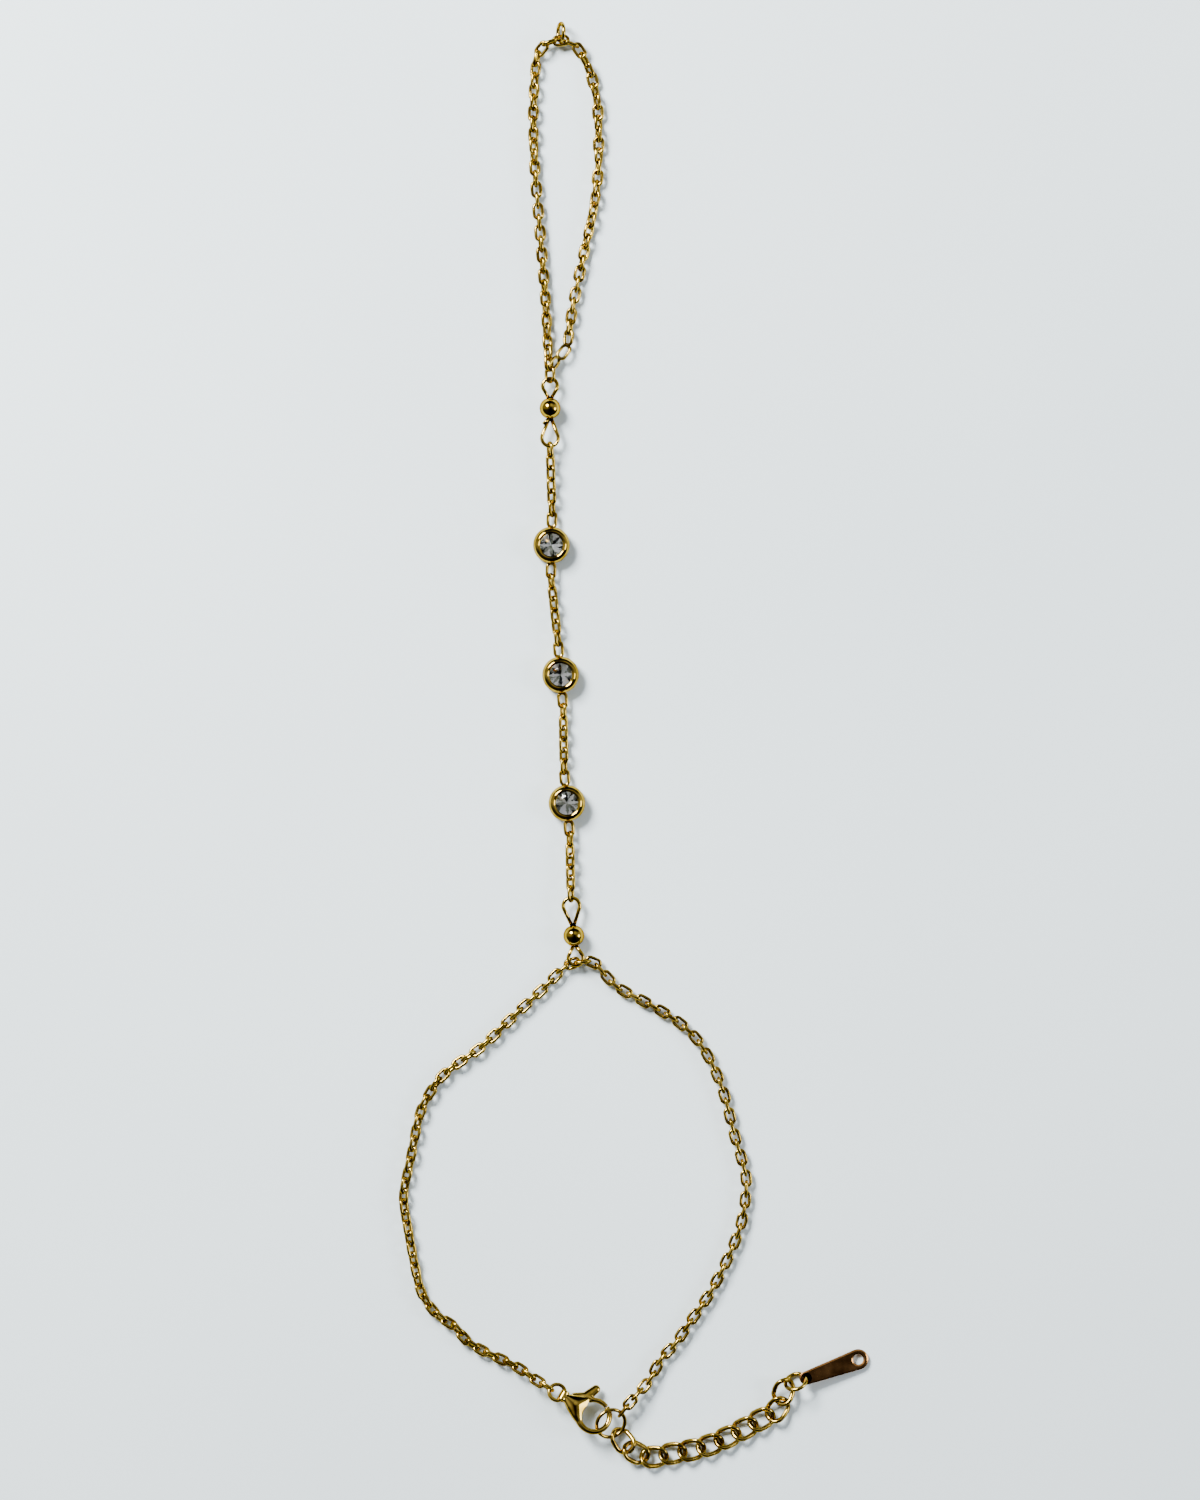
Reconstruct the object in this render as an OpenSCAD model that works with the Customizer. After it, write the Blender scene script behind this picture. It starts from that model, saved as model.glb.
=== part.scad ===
// Hand chain bracelet of gold coloured steel, laid flat: a finger loop, a chain down the
// back of the hand with two beads and three bezel set stones, and a wrist chain with a
// lobster clasp, an extender and an end tag. Millimetres. X is to the right, Y is towards
// the finger, Z is up. The origin is the middle of the flat back of the middle bezel.

/* [Cable chain] */
// Outside length of a cable link
link_l = 2.34; // [2.3:0.02:2.6]
// Outside width of a cable link
link_w = 1.5; // [1.4:0.02:1.8]
// Wire of a cable link
link_wire = 0.28; // [0.22:0.01:0.3]
// Play of a link on its neighbour when the chain is pulled straight
link_play = 0.11; // [0.1:0.01:0.13]
// Play of the end links on the eyes, rings and loops that they hang on
eye_play = 0.15; // [0.13:0.01:0.17]
// Slack of a link on its neighbour where the chain lies loose
link_slack = 0.11; // [0.08:0.01:0.16]
// Outside length of the larger link that hangs on the outer eye of a bead
joining_l = 2.5; // [2.4:0.05:2.7]
// Outside width of the larger link that hangs on the outer eye of a bead
joining_w = 1.9; // [1.85:0.05:2]

/* [Beads] */
// Diameter of a bead
bead_d = 3; // [2.6:0.1:3.4]
// Wire that runs through a bead
eye_wire = 0.34; // [0.28:0.01:0.4]
// Inside diameter of the round end of the long eye, on the hand's side
eye_d = 2; // [1.7:0.05:2.2]
// Inside diameter of the round end of the short eye
short_eye_d = 1.75; // [1.65:0.05:1.8]
// Length of the short eye from the bead's side to the middle of its round end
short_eye_l = 1.7; // [1.66:0.02:1.9]
// Length of the long eye, on the hand's side, from the bead's side to the same middle
long_eye_l = 2.75; // [2.65:0.01:2.8]
// Diameter of the neck where an eye is closed
neck_d = 0.66; // [0.62:0.02:0.7]
// Play of the neck in the bead's drilled hole
bead_play = 0.17; // [0.16:0.01:0.2]
// Depth of the neck's middle under the bead's surface
neck_depth = 0.45; // [0.4:0.01:0.5]

/* [Bezels and stones] */
// Outside diameter of a bezel
bezel_d = 5.2; // [4.8:0.1:5.8]
// Height of a bezel
bezel_h = 2.5; // [2.3:0.05:2.8]
// Width of the rounded shoulder between the stone and the outside
shoulder_w = 0.72; // [0.6:0.02:0.8]
// Diameter of a stone at its girdle
stone_d = 3.6; // [3.4:0.05:3.7]
// Space between a stone and its bezel
stone_gap = 0.12; // [0.11:0.01:0.14]
// Wire of a bezel's side loop
loop_wire = 0.3; // [0.26:0.01:0.32]
// Outside width of a bezel's oval side loop
loop_w = 1.46; // [1.4:0.02:1.6]
// Length that a side loop stands out from its bezel
loop_l = 2.2; // [2.1:0.05:2.4]
// Height of the side loops over the bezel's back
loop_h = 1.0; // [0.8:0.05:1.3]

/* [Rings] */
// Wire of the small jump rings
ring_wire = 0.4; // [0.34:0.02:0.46]
// Outside diameter of the ring that closes the finger loop
top_ring_d = 3; // [2.8:0.05:3.4]
// Outside diameter of the ring on the clasp
clasp_ring_d = 2.76; // [2.6:0.05:3]
// Outside diameter of the ring that holds the tag
tag_ring_d = 3.5; // [3.4:0.05:3.6]
// Outside diameter of the ring that the clasp hooks
end_ring_d = 4.76; // [4.7:0.02:4.9]
// Wire of the ring that the clasp hooks
end_ring_wire = 0.5; // [0.44:0.02:0.54]

/* [Extender] */
// Outside length of an extender link
curb_l = 3.9; // [3.8:0.02:4.2]
// Outside width of an extender link
curb_w = 3; // [2.8:0.05:3.3]
// Wire of an extender link
curb_wire = 0.4; // [0.34:0.01:0.42]
// Rise of an extender link's wire over its flat plane
curb_twist = 0.45; // [0.4:0.01:0.55]
// Play of an extender link on its neighbour
curb_play = 0.16; // [0.14:0.01:0.25]

/* [End tag] */
// Thickness of the tag
tag_t = 0.3; // [0.25:0.01:0.32]
// Distance between the tag's two holes
tag_l = 7.95; // [7:0.05:10]
// Radius of the tag's wide end
tag_wide_r = 1.46; // [1.3:0.02:1.8]
// Radius of the tag's narrow end
tag_narrow_r = 0.96; // [0.92:0.02:1.1]
// Diameter of the hole in the wide end
tag_hole_d = 1.5; // [1:0.05:1.8]
// Diameter of the hole for the ring in the narrow end
tag_eye_d = 1.16; // [1.12:0.02:1.2]

/* [Clasp] */
// Radius of the middle of the hook's arm
hook_r = 2.27; // [2.22:0.01:2.32]
// Thickness of the hook's arm
hook_wire = 0.56; // [0.5:0.02:0.6]
// Distance from the tail bore to the middle of the hook
hook_reach = 5.14; // [5.1:0.02:5.3]
// Thickness of the clasp's body at its shoulders
clasp_t = 1.6; // [1.5:0.05:1.8]
// Thickness of the lever
lever_t = 0.66; // [0.6:0.02:0.7]
// Play between the lever and the walls of its slot
lever_play = 0.12; // [0.1:0.01:0.13]
// Diameter of the lever's pin, which is pressed into the body
pin_d = 0.44; // [0.4:0.02:0.48]
// Play of the lever on its pin
pin_play = 0.1; // [0.08:0.01:0.12]
// Width of the tail block, along its bore
tail_w = 1.5; // [1.3:0.05:1.8]
// Play of the clasp's ring in the bore of the tail
tail_play = 0.15; // [0.1:0.01:0.16]

/* [Hidden] */

GOLD = "#c9a24a";
GLASS = "#e6eef0";
FACETS = 32;
WIRE_FACETS = 16;

// Chosen places of the pieces down the hand: x, y and lean in degrees
UPPER_BEAD = [-1.5, 38, 0];
BEZEL_1 = [-1.3, 18.5, -1];
BEZEL_2 = [0, 0, 4.5];
BEZEL_3 = [0.9, -18.3, 5];
LOWER_BEAD = [1.9, -37.2, 4.5];

// Chosen points of the chains, x, y and z, each from its lower end
LOOP_LEFT = [
  [-1.77, 45.83, 1.21], [-1.9, 47.7, 0.8], [-2.1, 52.4, 0.76], [-2.7, 60.3, 0.76],
  [-3.1, 65, 0.76], [-3.7, 72.5, 0.76], [-3.9, 78.7, 0.76], [-3.8, 83.3, 0.76],
  [-3.6, 86.1, 0.76], [-3.29, 88.25, 0.88], [-1.98, 89.98, 1.37]
];
LOOP_RIGHT = [
  [-0.09, 45.44, 1.14], [0.86, 46.17, 1.03], [1.2, 48.9, 0.8], [1.9, 53.4, 0.76],
  [3.5, 61, 0.76], [4.8, 67.1, 0.76], [5.4, 73, 0.76], [5.3, 80.7, 0.76],
  [4.8, 83.8, 0.76], [4.1, 86.3, 0.76], [2.99, 88.48, 1.05], [2.06, 89.79, 1.04]
];
WRIST_LEFT = [
  [1.6, -41.2, 0.9], [0.1, -42.1, 0.8], [-1.9, -44.2, 0.76], [-6.7, -48.7, 0.76],
  [-11.2, -53, 0.76], [-15, -55.7, 0.76], [-17.1, -57.5, 0.76], [-18.9, -60.1, 0.76],
  [-20.2, -63.1, 0.76], [-21.4, -69, 0.76], [-22.4, -74.3, 0.76], [-21.8, -79, 0.76],
  [-20.3, -86.7, 0.76], [-19.2, -89.3, 0.76], [-17.4, -91.5, 0.76], [-15, -93.1, 0.76],
  [-13.4, -95, 0.76], [-10.8, -96.6, 0.76], [-6.5, -98.6, 1.0], [-3.7, -100.4, 1.6]
];
WRIST_RIGHT = [
  [4.8, -41.1, 0.9], [6.1, -42.5, 0.8], [8.2, -44.6, 0.76], [12.1, -46.7, 0.76],
  [15.9, -48.9, 0.76], [18.4, -50.9, 0.76], [20.1, -52.9, 0.76], [21.7, -55.7, 0.76],
  [23.3, -59.7, 0.76], [24.8, -65.6, 0.76], [26, -69.7, 0.76], [26.5, -73, 0.76],
  [25.5, -79.2, 0.76], [21.9, -87.2, 0.76], [18.1, -92.9, 0.76], [16.4, -95.4, 0.76],
  [14.3, -97.7, 0.76], [12.78, -100.47, 0.89]
];
EXTENDER = [
  [12.31, -111.6, 0.76], [14.9, -111.3, 0.67], [20.8, -110.1, 0.67],
  [26.2, -107.6, 0.67], [28.9, -106.1, 0.67], [30.75, -105.09, 0.77]
];
// Extra turn of the links along a strand: share of its length and degrees
EVEN_TURN = [[0, 0], [1, 0]];
LOOP_LEFT_TURN = [[0, 0], [0.5, 0], [0.62, 45], [0.7, 90], [0.85, 90], [1, 135]];
LOOP_RIGHT_TURN = [[0, 0], [0.55, 90], [0.93, 450], [1, 450]];
// Rolls of the pulled links between the pieces on the hand: at an eye and elsewhere
EYE_ROLL = 65;
HAND_ROLL = 45;
// Roll of the extender's links: share of its length and degrees
EXTENDER_ROLL = [[0, -14.62], [0.15, 0], [1, 0]];

// Chosen places of the rings, the clasp and the tag
TOP_LINK = [0.04, 90.47, 1.23];
TOP_RING_TILT = -70.4;
JOINING_ROLL = -43.23;
CLASP = [0.42, -102.77, 2.1];
CLASP_YAW = -29.5;
CLASP_ROLL = -18;
END_RING = [7.16, -106.73, 1.69];
END_RING_TILT = 26;
END_RING_LEAN = -43.4;
TAG_EYE = [35.01, -100.3, 1.45];
TAG_YAW = 19;
TAG_PITCH = -7;
TAG_RING_TILT = 51.83;
// Where chains hang on the rings: place round the ring's rim in degrees, then the heading
// of the link from there as x, y and z
END_CHAIN_HANG = [86.9, [0.68, 0.85, 0.05]];
END_EXTENDER_HANG = [-8.94, [0.35, -0.62, 0.12]];
TAG_EXTENDER_HANG = [2.14, [-0.31, -0.9, -0.25]];
// Length that the extender keeps its first heading, and how far its last link sinks back
EXTENDER_LEAD = 1.5;
EXTENDER_SINK = 0.23;
// How far the top ring is slid back over the loop's top link, and its rise over that link
TOP_RING_SLIDE = 0.17;
TOP_RING_RISE = 0.22;
// Plays at the joining link: to the bead's eye, and of the loop's first links along and across
JOINING_EYE_PLAY = 0.231;
JOINING_ALONG_PLAY = 0.2288;
JOINING_ACROSS_PLAY = 0.0979;
// Where the middle link holds the lower bead's eye, in shares of its radius: onward and aside
MIDDLE_HOLD = [0.6, 0.92];

link_pitch = link_l - 2 * link_wire - link_play;
curb_pitch = curb_l - 2 * curb_wire - curb_play;
eye_r = (eye_d + eye_wire) / 2;
short_eye_r = (short_eye_d + eye_wire) / 2;
short_eye_reach = bead_d / 2 + short_eye_l;
long_eye_reach = bead_d / 2 + long_eye_l;
neck_y = bead_d / 2 - neck_depth;
loop_reach = bezel_d / 2 + loop_l - loop_wire / 2;
bead_z = bead_d / 2;

// Place of a point given in a piece's own frame: forward is its local -Y
function down_hand(place, forward, side, z) = [
  place[0] + forward * sin(place[2]) + side * cos(place[2]),
  place[1] - forward * cos(place[2]) + side * sin(place[2]),
  z
];

// Point on a smooth curve through b and c, with neighbours a and d
function curve_point(a, b, c, d, t) = 0.5 * (
  2 * b + (c - a) * t + (2 * a - 5 * b + 4 * c - d) * t * t + (3 * b - a - 3 * c + d) * t * t * t
);
function curve(points, steps = 6) = concat(
  [
    for (i = [0 : len(points) - 2], k = [0 : steps - 1])
      curve_point(
        points[max(i - 1, 0)], points[i], points[i + 1], points[min(i + 2, len(points) - 1)],
        k / steps
      )
  ],
  [points[len(points) - 1]]
);
function run_lengths(path) = [
  for (i = 0, run = 0; i < len(path);
       run = run + (i + 1 < len(path) ? norm(path[i + 1] - path[i]) : 0), i = i + 1) run
];
function along(path, runs, s) = [
  for (axis = [0 : 2]) lookup(s, [for (i = [0 : len(path) - 1]) [runs[i], path[i][axis]]])
];
// Smallest turn, within a quarter, that brings an angle to a wanted one modulo a half turn
function half_turn_fix(angle, wanted) = (wanted - angle) - 180 * round((wanted - angle) / 180);

// Roll of a link on a heading that turns its normal towards a wanted one
function roll_for(ahead, normal) =
  let (
    h = ahead / norm(ahead),
    side = [-h[1], h[0], 0] / norm([h[0], h[1]])
  )
  atan2(-normal * side, normal * cross(h, side));

// Distance from the middle of the wire that a link hangs on to the link's own middle
function hang(wire) = link_l / 2 - link_wire - wire / 2 - eye_play;
function curb_hang(wire) = curb_l / 2 - curb_wire - wire / 2 - eye_play;

// Middle of a link that hangs on a tilted ring at a place round its rim
function on_ring(middle, tilt, lean, r, hang_at, distance) =
  let (
    t = hang_at[0],
    ahead = hang_at[1] / norm(hang_at[1]),
    x = r * cos(t) * cos(tilt),
    y = r * sin(t)
  )
  middle + [x * cos(lean) - y * sin(lean), x * sin(lean) + y * cos(lean), -r * cos(t) * sin(tilt)]
    + distance * ahead;

// Stands a child, modelled along X, at a point on a heading with a slope and a roll
module stand(place, ahead, roll) {
  flat = norm([ahead[0], ahead[1]]);
  translate(place)
    rotate([roll, -atan2(ahead[2], flat), atan2(ahead[1], ahead[0])])
      children();
}

// Round wire bent through part of a circle, from angle a to angle b
module bent_wire(r, wire, a, b) {
  rotate([0, 0, a])
    rotate_extrude(angle = b - a, $fn = FACETS)
      translate([r, 0])
        circle(d = wire, $fn = WIRE_FACETS);
}

// Straight round wire between two points
module straight_wire(a, b, wire) {
  along_wire = b - a;
  translate(a)
    rotate([0, acos(along_wire[2] / norm(along_wire)), atan2(along_wire[1], along_wire[0])])
      cylinder(h = norm(along_wire), d = wire, $fn = WIRE_FACETS);
}

// Closed round ring in the XY plane
module ring(outside_d, wire) {
  rotate_extrude($fn = 2 * FACETS)
    translate([(outside_d - wire) / 2, 0])
      circle(d = wire, $fn = WIRE_FACETS);
}

// Oval link of round wire, long along X, its hole along Z
module oval_link(l, w, wire) {
  end_r = (w - wire) / 2;
  straight = l - w;
  for (side = [-1, 1]) {
    translate([side * straight / 2, 0, 0])
      bent_wire(end_r, wire, -90 * side, -90 * side + 180);
    translate([-straight / 2, side * end_r, 0])
      rotate([0, 90, 0])
        cylinder(h = straight, d = wire, $fn = WIRE_FACETS);
  }
}
module cable_link() { oval_link(link_l, link_w, link_wire); }

// Cable chain along a route. The first and last links are centred on the route's ends and
// have the given rolls; first = 1 or last = 1 leaves out a link that another strand holds.
module cable_chain(points, roll_a, roll_b, turn = EVEN_TURN, first = 0, last = 0) {
  path = curve(points);
  runs = run_lengths(path);
  total = runs[len(runs) - 1];
  steps = max(1, ceil(total / (link_pitch - link_slack)));
  reach = link_pitch / 2;
  last_turn = lookup(1, turn);
  fix = half_turn_fix(roll_a + 90 * steps + last_turn, roll_b);
  for (i = [first : steps - last]) {
    s = total * i / steps;
    ahead = along(path, runs, min(s + reach, total)) - along(path, runs, max(s - reach, 0));
    stand(along(path, runs, s), ahead, roll_a + 90 * i + lookup(i / steps, turn) + fix * i / steps)
      cable_link();
  }
}

// Straight run of cable chain between two flat eyes: the middles of their end wires
module chain_between(eye_a, eye_b, wire_a, wire_b) {
  ahead = (eye_b - eye_a) / norm(eye_b - eye_a);
  start = eye_a + ahead * hang(wire_a);
  end = eye_b - ahead * hang(wire_b);
  steps = ceil(norm(end - start) / link_pitch);
  for (i = [0 : steps]) {
    side = i % 2 == 0 ? 1 : -1;
    stand(
      start + (end - start) * i / steps, ahead, side * (i == 0 || i == steps ? EYE_ROLL : HAND_ROLL)
    )
      cable_link();
  }
}

// Extender link: an oval bent out of its plane, so that the next link lies as flat as it does
module curb_link() {
  sides = 6;
  rings = 20;
  a = (curb_l - curb_wire) / 2;
  b = (curb_w - curb_wire) / 2;
  points = [
    for (i = [0 : rings - 1])
      let (
        t = 360 * i / rings,
        middle = [a * cos(t), b * sin(t), curb_twist * sin(2 * t)],
        along_wire = [-a * sin(t), b * cos(t), 2 * curb_twist * cos(2 * t)],
        out = [b * cos(t), a * sin(t), 0],
        up = cross(along_wire, out) / norm(cross(along_wire, out)),
        side = cross(up, along_wire) / norm(along_wire)
      )
      for (k = [0 : sides - 1])
        middle + curb_wire / 2 * (side * cos(360 * k / sides) - up * sin(360 * k / sides))
  ];
  faces = [
    for (i = [0 : rings - 1], k = [0 : sides - 1])
      let (
        a0 = i * sides + k,
        a1 = i * sides + (k + 1) % sides,
        b0 = (i + 1) % rings * sides + k,
        b1 = (i + 1) % rings * sides + (k + 1) % sides
      )
      each [[a0, a1, b1], [a0, b1, b0]]
  ];
  polyhedron(points, faces);
}

// Bead wire: straight through the bead, closed at a neck into an eye at each end
module bead_wire(short_end, long_end) {
  inner_end = 0.28;
  overlap = 0.06;
  thinner = 0.02;
  for (end = [[short_end, short_eye_reach, short_eye_r], [long_end, long_eye_reach, eye_r]]) {
    apex = end[1] - neck_y;
    side_angle = asin(end[2] / apex);
    start = apex * cos(side_angle) + overlap;
    rotate([0, 0, end[0]]) {
      translate([0, end[1], 0])
        bent_wire(end[2], eye_wire, -side_angle, 180 + side_angle);
      for (side = [-1, 1])
        straight_wire(
          [side * start * sin(side_angle), neck_y + start * cos(side_angle), 0],
          [side * inner_end * sin(side_angle), neck_y + inner_end * cos(side_angle), 0],
          eye_wire - thinner
        );
      translate([0, neck_y, 0])
        sphere(d = neck_d, $fn = FACETS);
    }
  }
  straight_wire([0, thinner - neck_y, 0], [0, neck_y - thinner, 0], eye_wire);
}

// Round bead, drilled along Y for its wire
module bead() {
  difference() {
    sphere(d = bead_d, $fn = 2 * FACETS);
    rotate([90, 0, 0])
      cylinder(h = bead_d + 1, d = neck_d + 2 * bead_play, center = true, $fn = FACETS);
  }
}

// Heights of the stone's girdle and facets, as shares of its diameter
TABLE_SHARE = 0.29;
CROWN_SHARE = 0.16;
MID_CROWN_SHARE = 0.41;
MID_CROWN_RISE = 0.09;
PAVILION_SHARE = 0.335;
GIRDLE_SHARE = 0.03;
TABLE_DROP = 0.2;
stone_z = bezel_h - TABLE_DROP - stone_d * (CROWN_SHARE + GIRDLE_SHARE / 2);

// Round brilliant with its girdle's middle at z = 0: table, star, kite and girdle facets
module stone() {
  girdle = stone_d * GIRDLE_SHARE / 2;
  table = [for (k = [0 : 7]) concat(stone_d * TABLE_SHARE * [cos(45 * k), sin(45 * k)], [
    girdle + stone_d * CROWN_SHARE])];
  mid = [for (k = [0 : 7]) concat(stone_d * MID_CROWN_SHARE * [cos(45 * k + 22.5), sin(45 * k + 22.5)], [
    girdle + stone_d * MID_CROWN_RISE])];
  rim = [for (z = [girdle, -girdle], k = [0 : 15]) concat(stone_d / 2 * [cos(22.5 * k), sin(22.5 * k)], [z])];
  point = [[0, 0, -girdle - stone_d * PAVILION_SHARE]];
  faces = [
    [for (k = [7 : -1 : 0]) k],
    for (k = [0 : 7])
      let (
        n = (k + 1) % 8,
        m = 8 + k,
        m_next = 8 + n,
        g = 16 + 2 * k + 1,
        g_before = 16 + 2 * k,
        g_next = 16 + (2 * k + 2) % 16
      )
      each [
        [k, n, m], [n, m_next, m], [m, m_next, g_next],
        [g_before, m, g], [g, m, g_next]
      ],
    for (k = [0 : 15])
      let (
        n = (k + 1) % 16
      )
      each [
        [16 + k, 16 + n, 32 + n], [16 + k, 32 + n, 32 + k],
        [32 + k, 32 + n, 48]
      ]
  ];
  polyhedron(concat(table, mid, rim, point), faces);
}

// Bezel: a cup turned from one profile, with a soldered loop at each end
module bezel() {
  outer = bezel_d / 2;
  bore = stone_d / 2 + stone_gap;
  lip = outer - shoulder_w;
  girdle_top = stone_z + stone_d * GIRDLE_SHARE / 2 + stone_gap;
  foot = 0.25;
  floor_t = 0.3;
  rim_t = 0.1;
  rim_drop = 0.12;
  flare = 0.04;
  shoulder_z = bezel_h - shoulder_w;
  rotate_extrude($fn = 2 * FACETS)
    polygon(concat(
      [[0, 0], [outer - foot, 0], [outer, foot]],
      [for (t = [0 : 15 : 75]) [outer - shoulder_w * (1 - cos(t)), shoulder_z + shoulder_w * sin(t)]],
      [[lip, bezel_h], [lip - rim_t, bezel_h], [lip - rim_t - flare, bezel_h - rim_drop]],
      [[bore, girdle_top], [bore, stone_z - stone_gap], [bore - 0.2, floor_t + 0.2], [0, floor_t]]
    ));
  for (end = [90, 270])
    rotate([0, 0, end])
      translate([outer + (loop_l - loop_wire) / 2, 0, loop_h])
        oval_link(loop_l + loop_wire, loop_w, loop_wire);
}

// Puts a child at a place down the hand, turned by its lean
module down_the_hand(place, z) {
  translate([place[0], place[1], z])
    rotate([0, 0, place[2]])
      children();
}

function bead_eye(place, end) = down_hand(place, end * (long_eye_reach + eye_r), 0, bead_z);
function bezel_eye(place, end) = down_hand(place, end * loop_reach, 0, loop_h);

// Clasp frame: local u runs from the tail bore to the hook, v to the lever's side
function clasp_place(u, v, w) =
  let (
    y = v * cos(CLASP_ROLL) - w * sin(CLASP_ROLL),
    z = v * sin(CLASP_ROLL) + w * cos(CLASP_ROLL)
  )
  CLASP + [u * cos(CLASP_YAW) - y * sin(CLASP_YAW), u * sin(CLASP_YAW) + y * cos(CLASP_YAW), z];

module clasp_frame() {
  translate(CLASP)
    rotate([CLASP_ROLL, 0, CLASP_YAW])
      children();
}

PIVOT = [1.35, 0.75];
HOOK_MIDDLE = [hook_reach, -0.35];
// Where the hook's arm starts and ends and where the lever's nose stops, in degrees
HOOK_ANGLES = [-125, 62];
NOSE_ANGLE = 57;
// Round masses that the clasp's body is drawn over: u, v and diameter
BODY_MASSES = [
  [0.75, 0, clasp_t - 0.2],
  [HOOK_MIDDLE[0] - 2.5, -1.55, clasp_t],
  [HOOK_MIDDLE[0] - 1.95, 1.25, clasp_t - 0.2],
  [HOOK_MIDDLE[0] - 1.35, -2.25, hook_wire]
];
// Opening for the lever: its near corner and its length and width
SLOT_CORNER = [0.55, -0.05];
SLOT_SIZE = [4.2, 4];
tail_wall = 0.28;
boss_wall = 0.24;
pin_sink = 0.2;
tail_r = ring_wire / 2 + tail_play + tail_wall;
clasp_ring_r = (clasp_ring_d - ring_wire) / 2;
clasp_ring_shift = (clasp_ring_r - sqrt(clasp_ring_r ^ 2 - (tail_w / 2) ^ 2)) / 2;
gate_out_r = hook_r + hook_wire / 2;
gate_in_r = hook_r - hook_wire / 2;
boss_r = pin_d / 2 + pin_play + boss_wall;
nose_reach = norm(HOOK_MIDDLE + hook_r * [cos(NOSE_ANGLE), sin(NOSE_ANGLE)] - PIVOT);

// Hook, body and tail of the clasp, with the lever's slot and the bores cut out
module clasp_body_solid() {
  difference() {
    union() {
      difference() {
        hull()
          for (mass = BODY_MASSES)
            translate([mass[0], mass[1], 0]) sphere(d = mass[2], $fn = 24);
        translate([HOOK_MIDDLE[0], HOOK_MIDDLE[1], -clasp_t])
          cylinder(h = 2 * clasp_t, r = gate_in_r, $fn = 2 * FACETS);
      }
      translate([HOOK_MIDDLE[0], HOOK_MIDDLE[1], 0])
        bent_wire(hook_r, hook_wire, HOOK_ANGLES[0], HOOK_ANGLES[1]);
      rotate([90, 0, 0])
        cylinder(h = tail_w, r = tail_r, center = true, $fn = FACETS);
    }
    translate([clasp_ring_shift - clasp_ring_r, 0, 0])
      ring(clasp_ring_d + 2 * tail_play, ring_wire + 2 * tail_play);
    translate([SLOT_CORNER[0], SLOT_CORNER[1], -lever_t / 2 - lever_play])
      cube([SLOT_SIZE[0], SLOT_SIZE[1], lever_t + 2 * lever_play]);
    translate([PIVOT[0], PIVOT[1], -lever_t / 2 - lever_play])
      cylinder(h = lever_t + 2 * lever_play, r = boss_r + lever_play, $fn = FACETS);
    intersection() {
      translate([PIVOT[0], PIVOT[1], -clasp_t])
        cylinder(h = 2 * clasp_t, r = nose_reach + lever_play, $fn = 2 * FACETS);
      translate([HOOK_MIDDLE[0] + 0.2, 0.3, -clasp_t])
        cube([3, 3, 2 * clasp_t]);
    }
  }
  translate([PIVOT[0], PIVOT[1], pin_sink - clasp_t / 2])
    cylinder(h = clasp_t - 2 * pin_sink, d = pin_d, $fn = FACETS);
}

// Outline of the lever from its pivot round the thumb tab and back
LEVER_OUTLINE = [
  PIVOT + [-0.12, 0.48],
  HOOK_MIDDLE + [-3.0, 2.35],
  HOOK_MIDDLE + [-1.75, 4.05],
  HOOK_MIDDLE + [-1.4, 4.0],
  HOOK_MIDDLE + [-1.05, 3.5],
  HOOK_MIDDLE + [-0.75, 2.45],
  HOOK_MIDDLE + (gate_out_r - 0.04) * [cos(112), sin(112)],
  HOOK_MIDDLE + (gate_in_r + 0.05) * [cos(128), sin(128)],
  PIVOT + [0.12, -0.48]
];

// Lever: a flat plate with the gate at its end, the thumb tab on its back and a bore
module lever_plate(grow = 0) {
  linear_extrude(lever_t + grow, center = true)
    children();
}
module clasp_lever_solid() {
  difference() {
    union() {
      translate(PIVOT)
        cylinder(h = lever_t, r = boss_r, center = true, $fn = FACETS);
      intersection() {
        translate(HOOK_MIDDLE)
          difference() {
            cylinder(h = lever_t, r = gate_out_r, center = true, $fn = 2 * FACETS);
            cylinder(h = lever_t + 1, r = gate_in_r, center = true, $fn = 2 * FACETS);
            lever_plate(1)
              polygon([[0, 0], 5 * [cos(40), sin(40)], [5, -5], [-5, -5], 5 * [cos(132), sin(132)]]);
          }
        translate(PIVOT)
          cylinder(h = lever_t + 1, r = nose_reach, center = true, $fn = 2 * FACETS);
      }
      lever_plate()
        polygon(LEVER_OUTLINE);
    }
    translate(PIVOT)
      cylinder(h = lever_t + 1, d = pin_d + 2 * pin_play, center = true, $fn = FACETS);
  }
}

function arc_point(angle) = [cos(angle), sin(angle)];

// End tag: a tapered plate with a round hole at each end, its narrow eye at the origin
module tag_solid() {
  touch = 90 + asin((tag_wide_r - tag_narrow_r) / tag_l);
  linear_extrude(tag_t)
    difference() {
      polygon(concat(
        [for (k = [0 : FACETS]) [tag_l, 0] + tag_wide_r * arc_point(-touch + 2 * touch * k / FACETS)],
        [for (k = [0 : FACETS / 2])
          tag_narrow_r * arc_point(touch + 4 * (180 - touch) * k / FACETS)]
      ));
      circle(d = tag_eye_d, $fn = FACETS);
      translate([tag_l, 0]) circle(d = tag_hole_d, $fn = FACETS);
    }
}

module loop_top_ring() {
  color(GOLD)
    translate(TOP_LINK + [0, (top_ring_d - ring_wire) / 2 - TOP_RING_SLIDE, TOP_RING_RISE])
      rotate([0, TOP_RING_TILT, 0])
        ring(top_ring_d, ring_wire);
}

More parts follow.
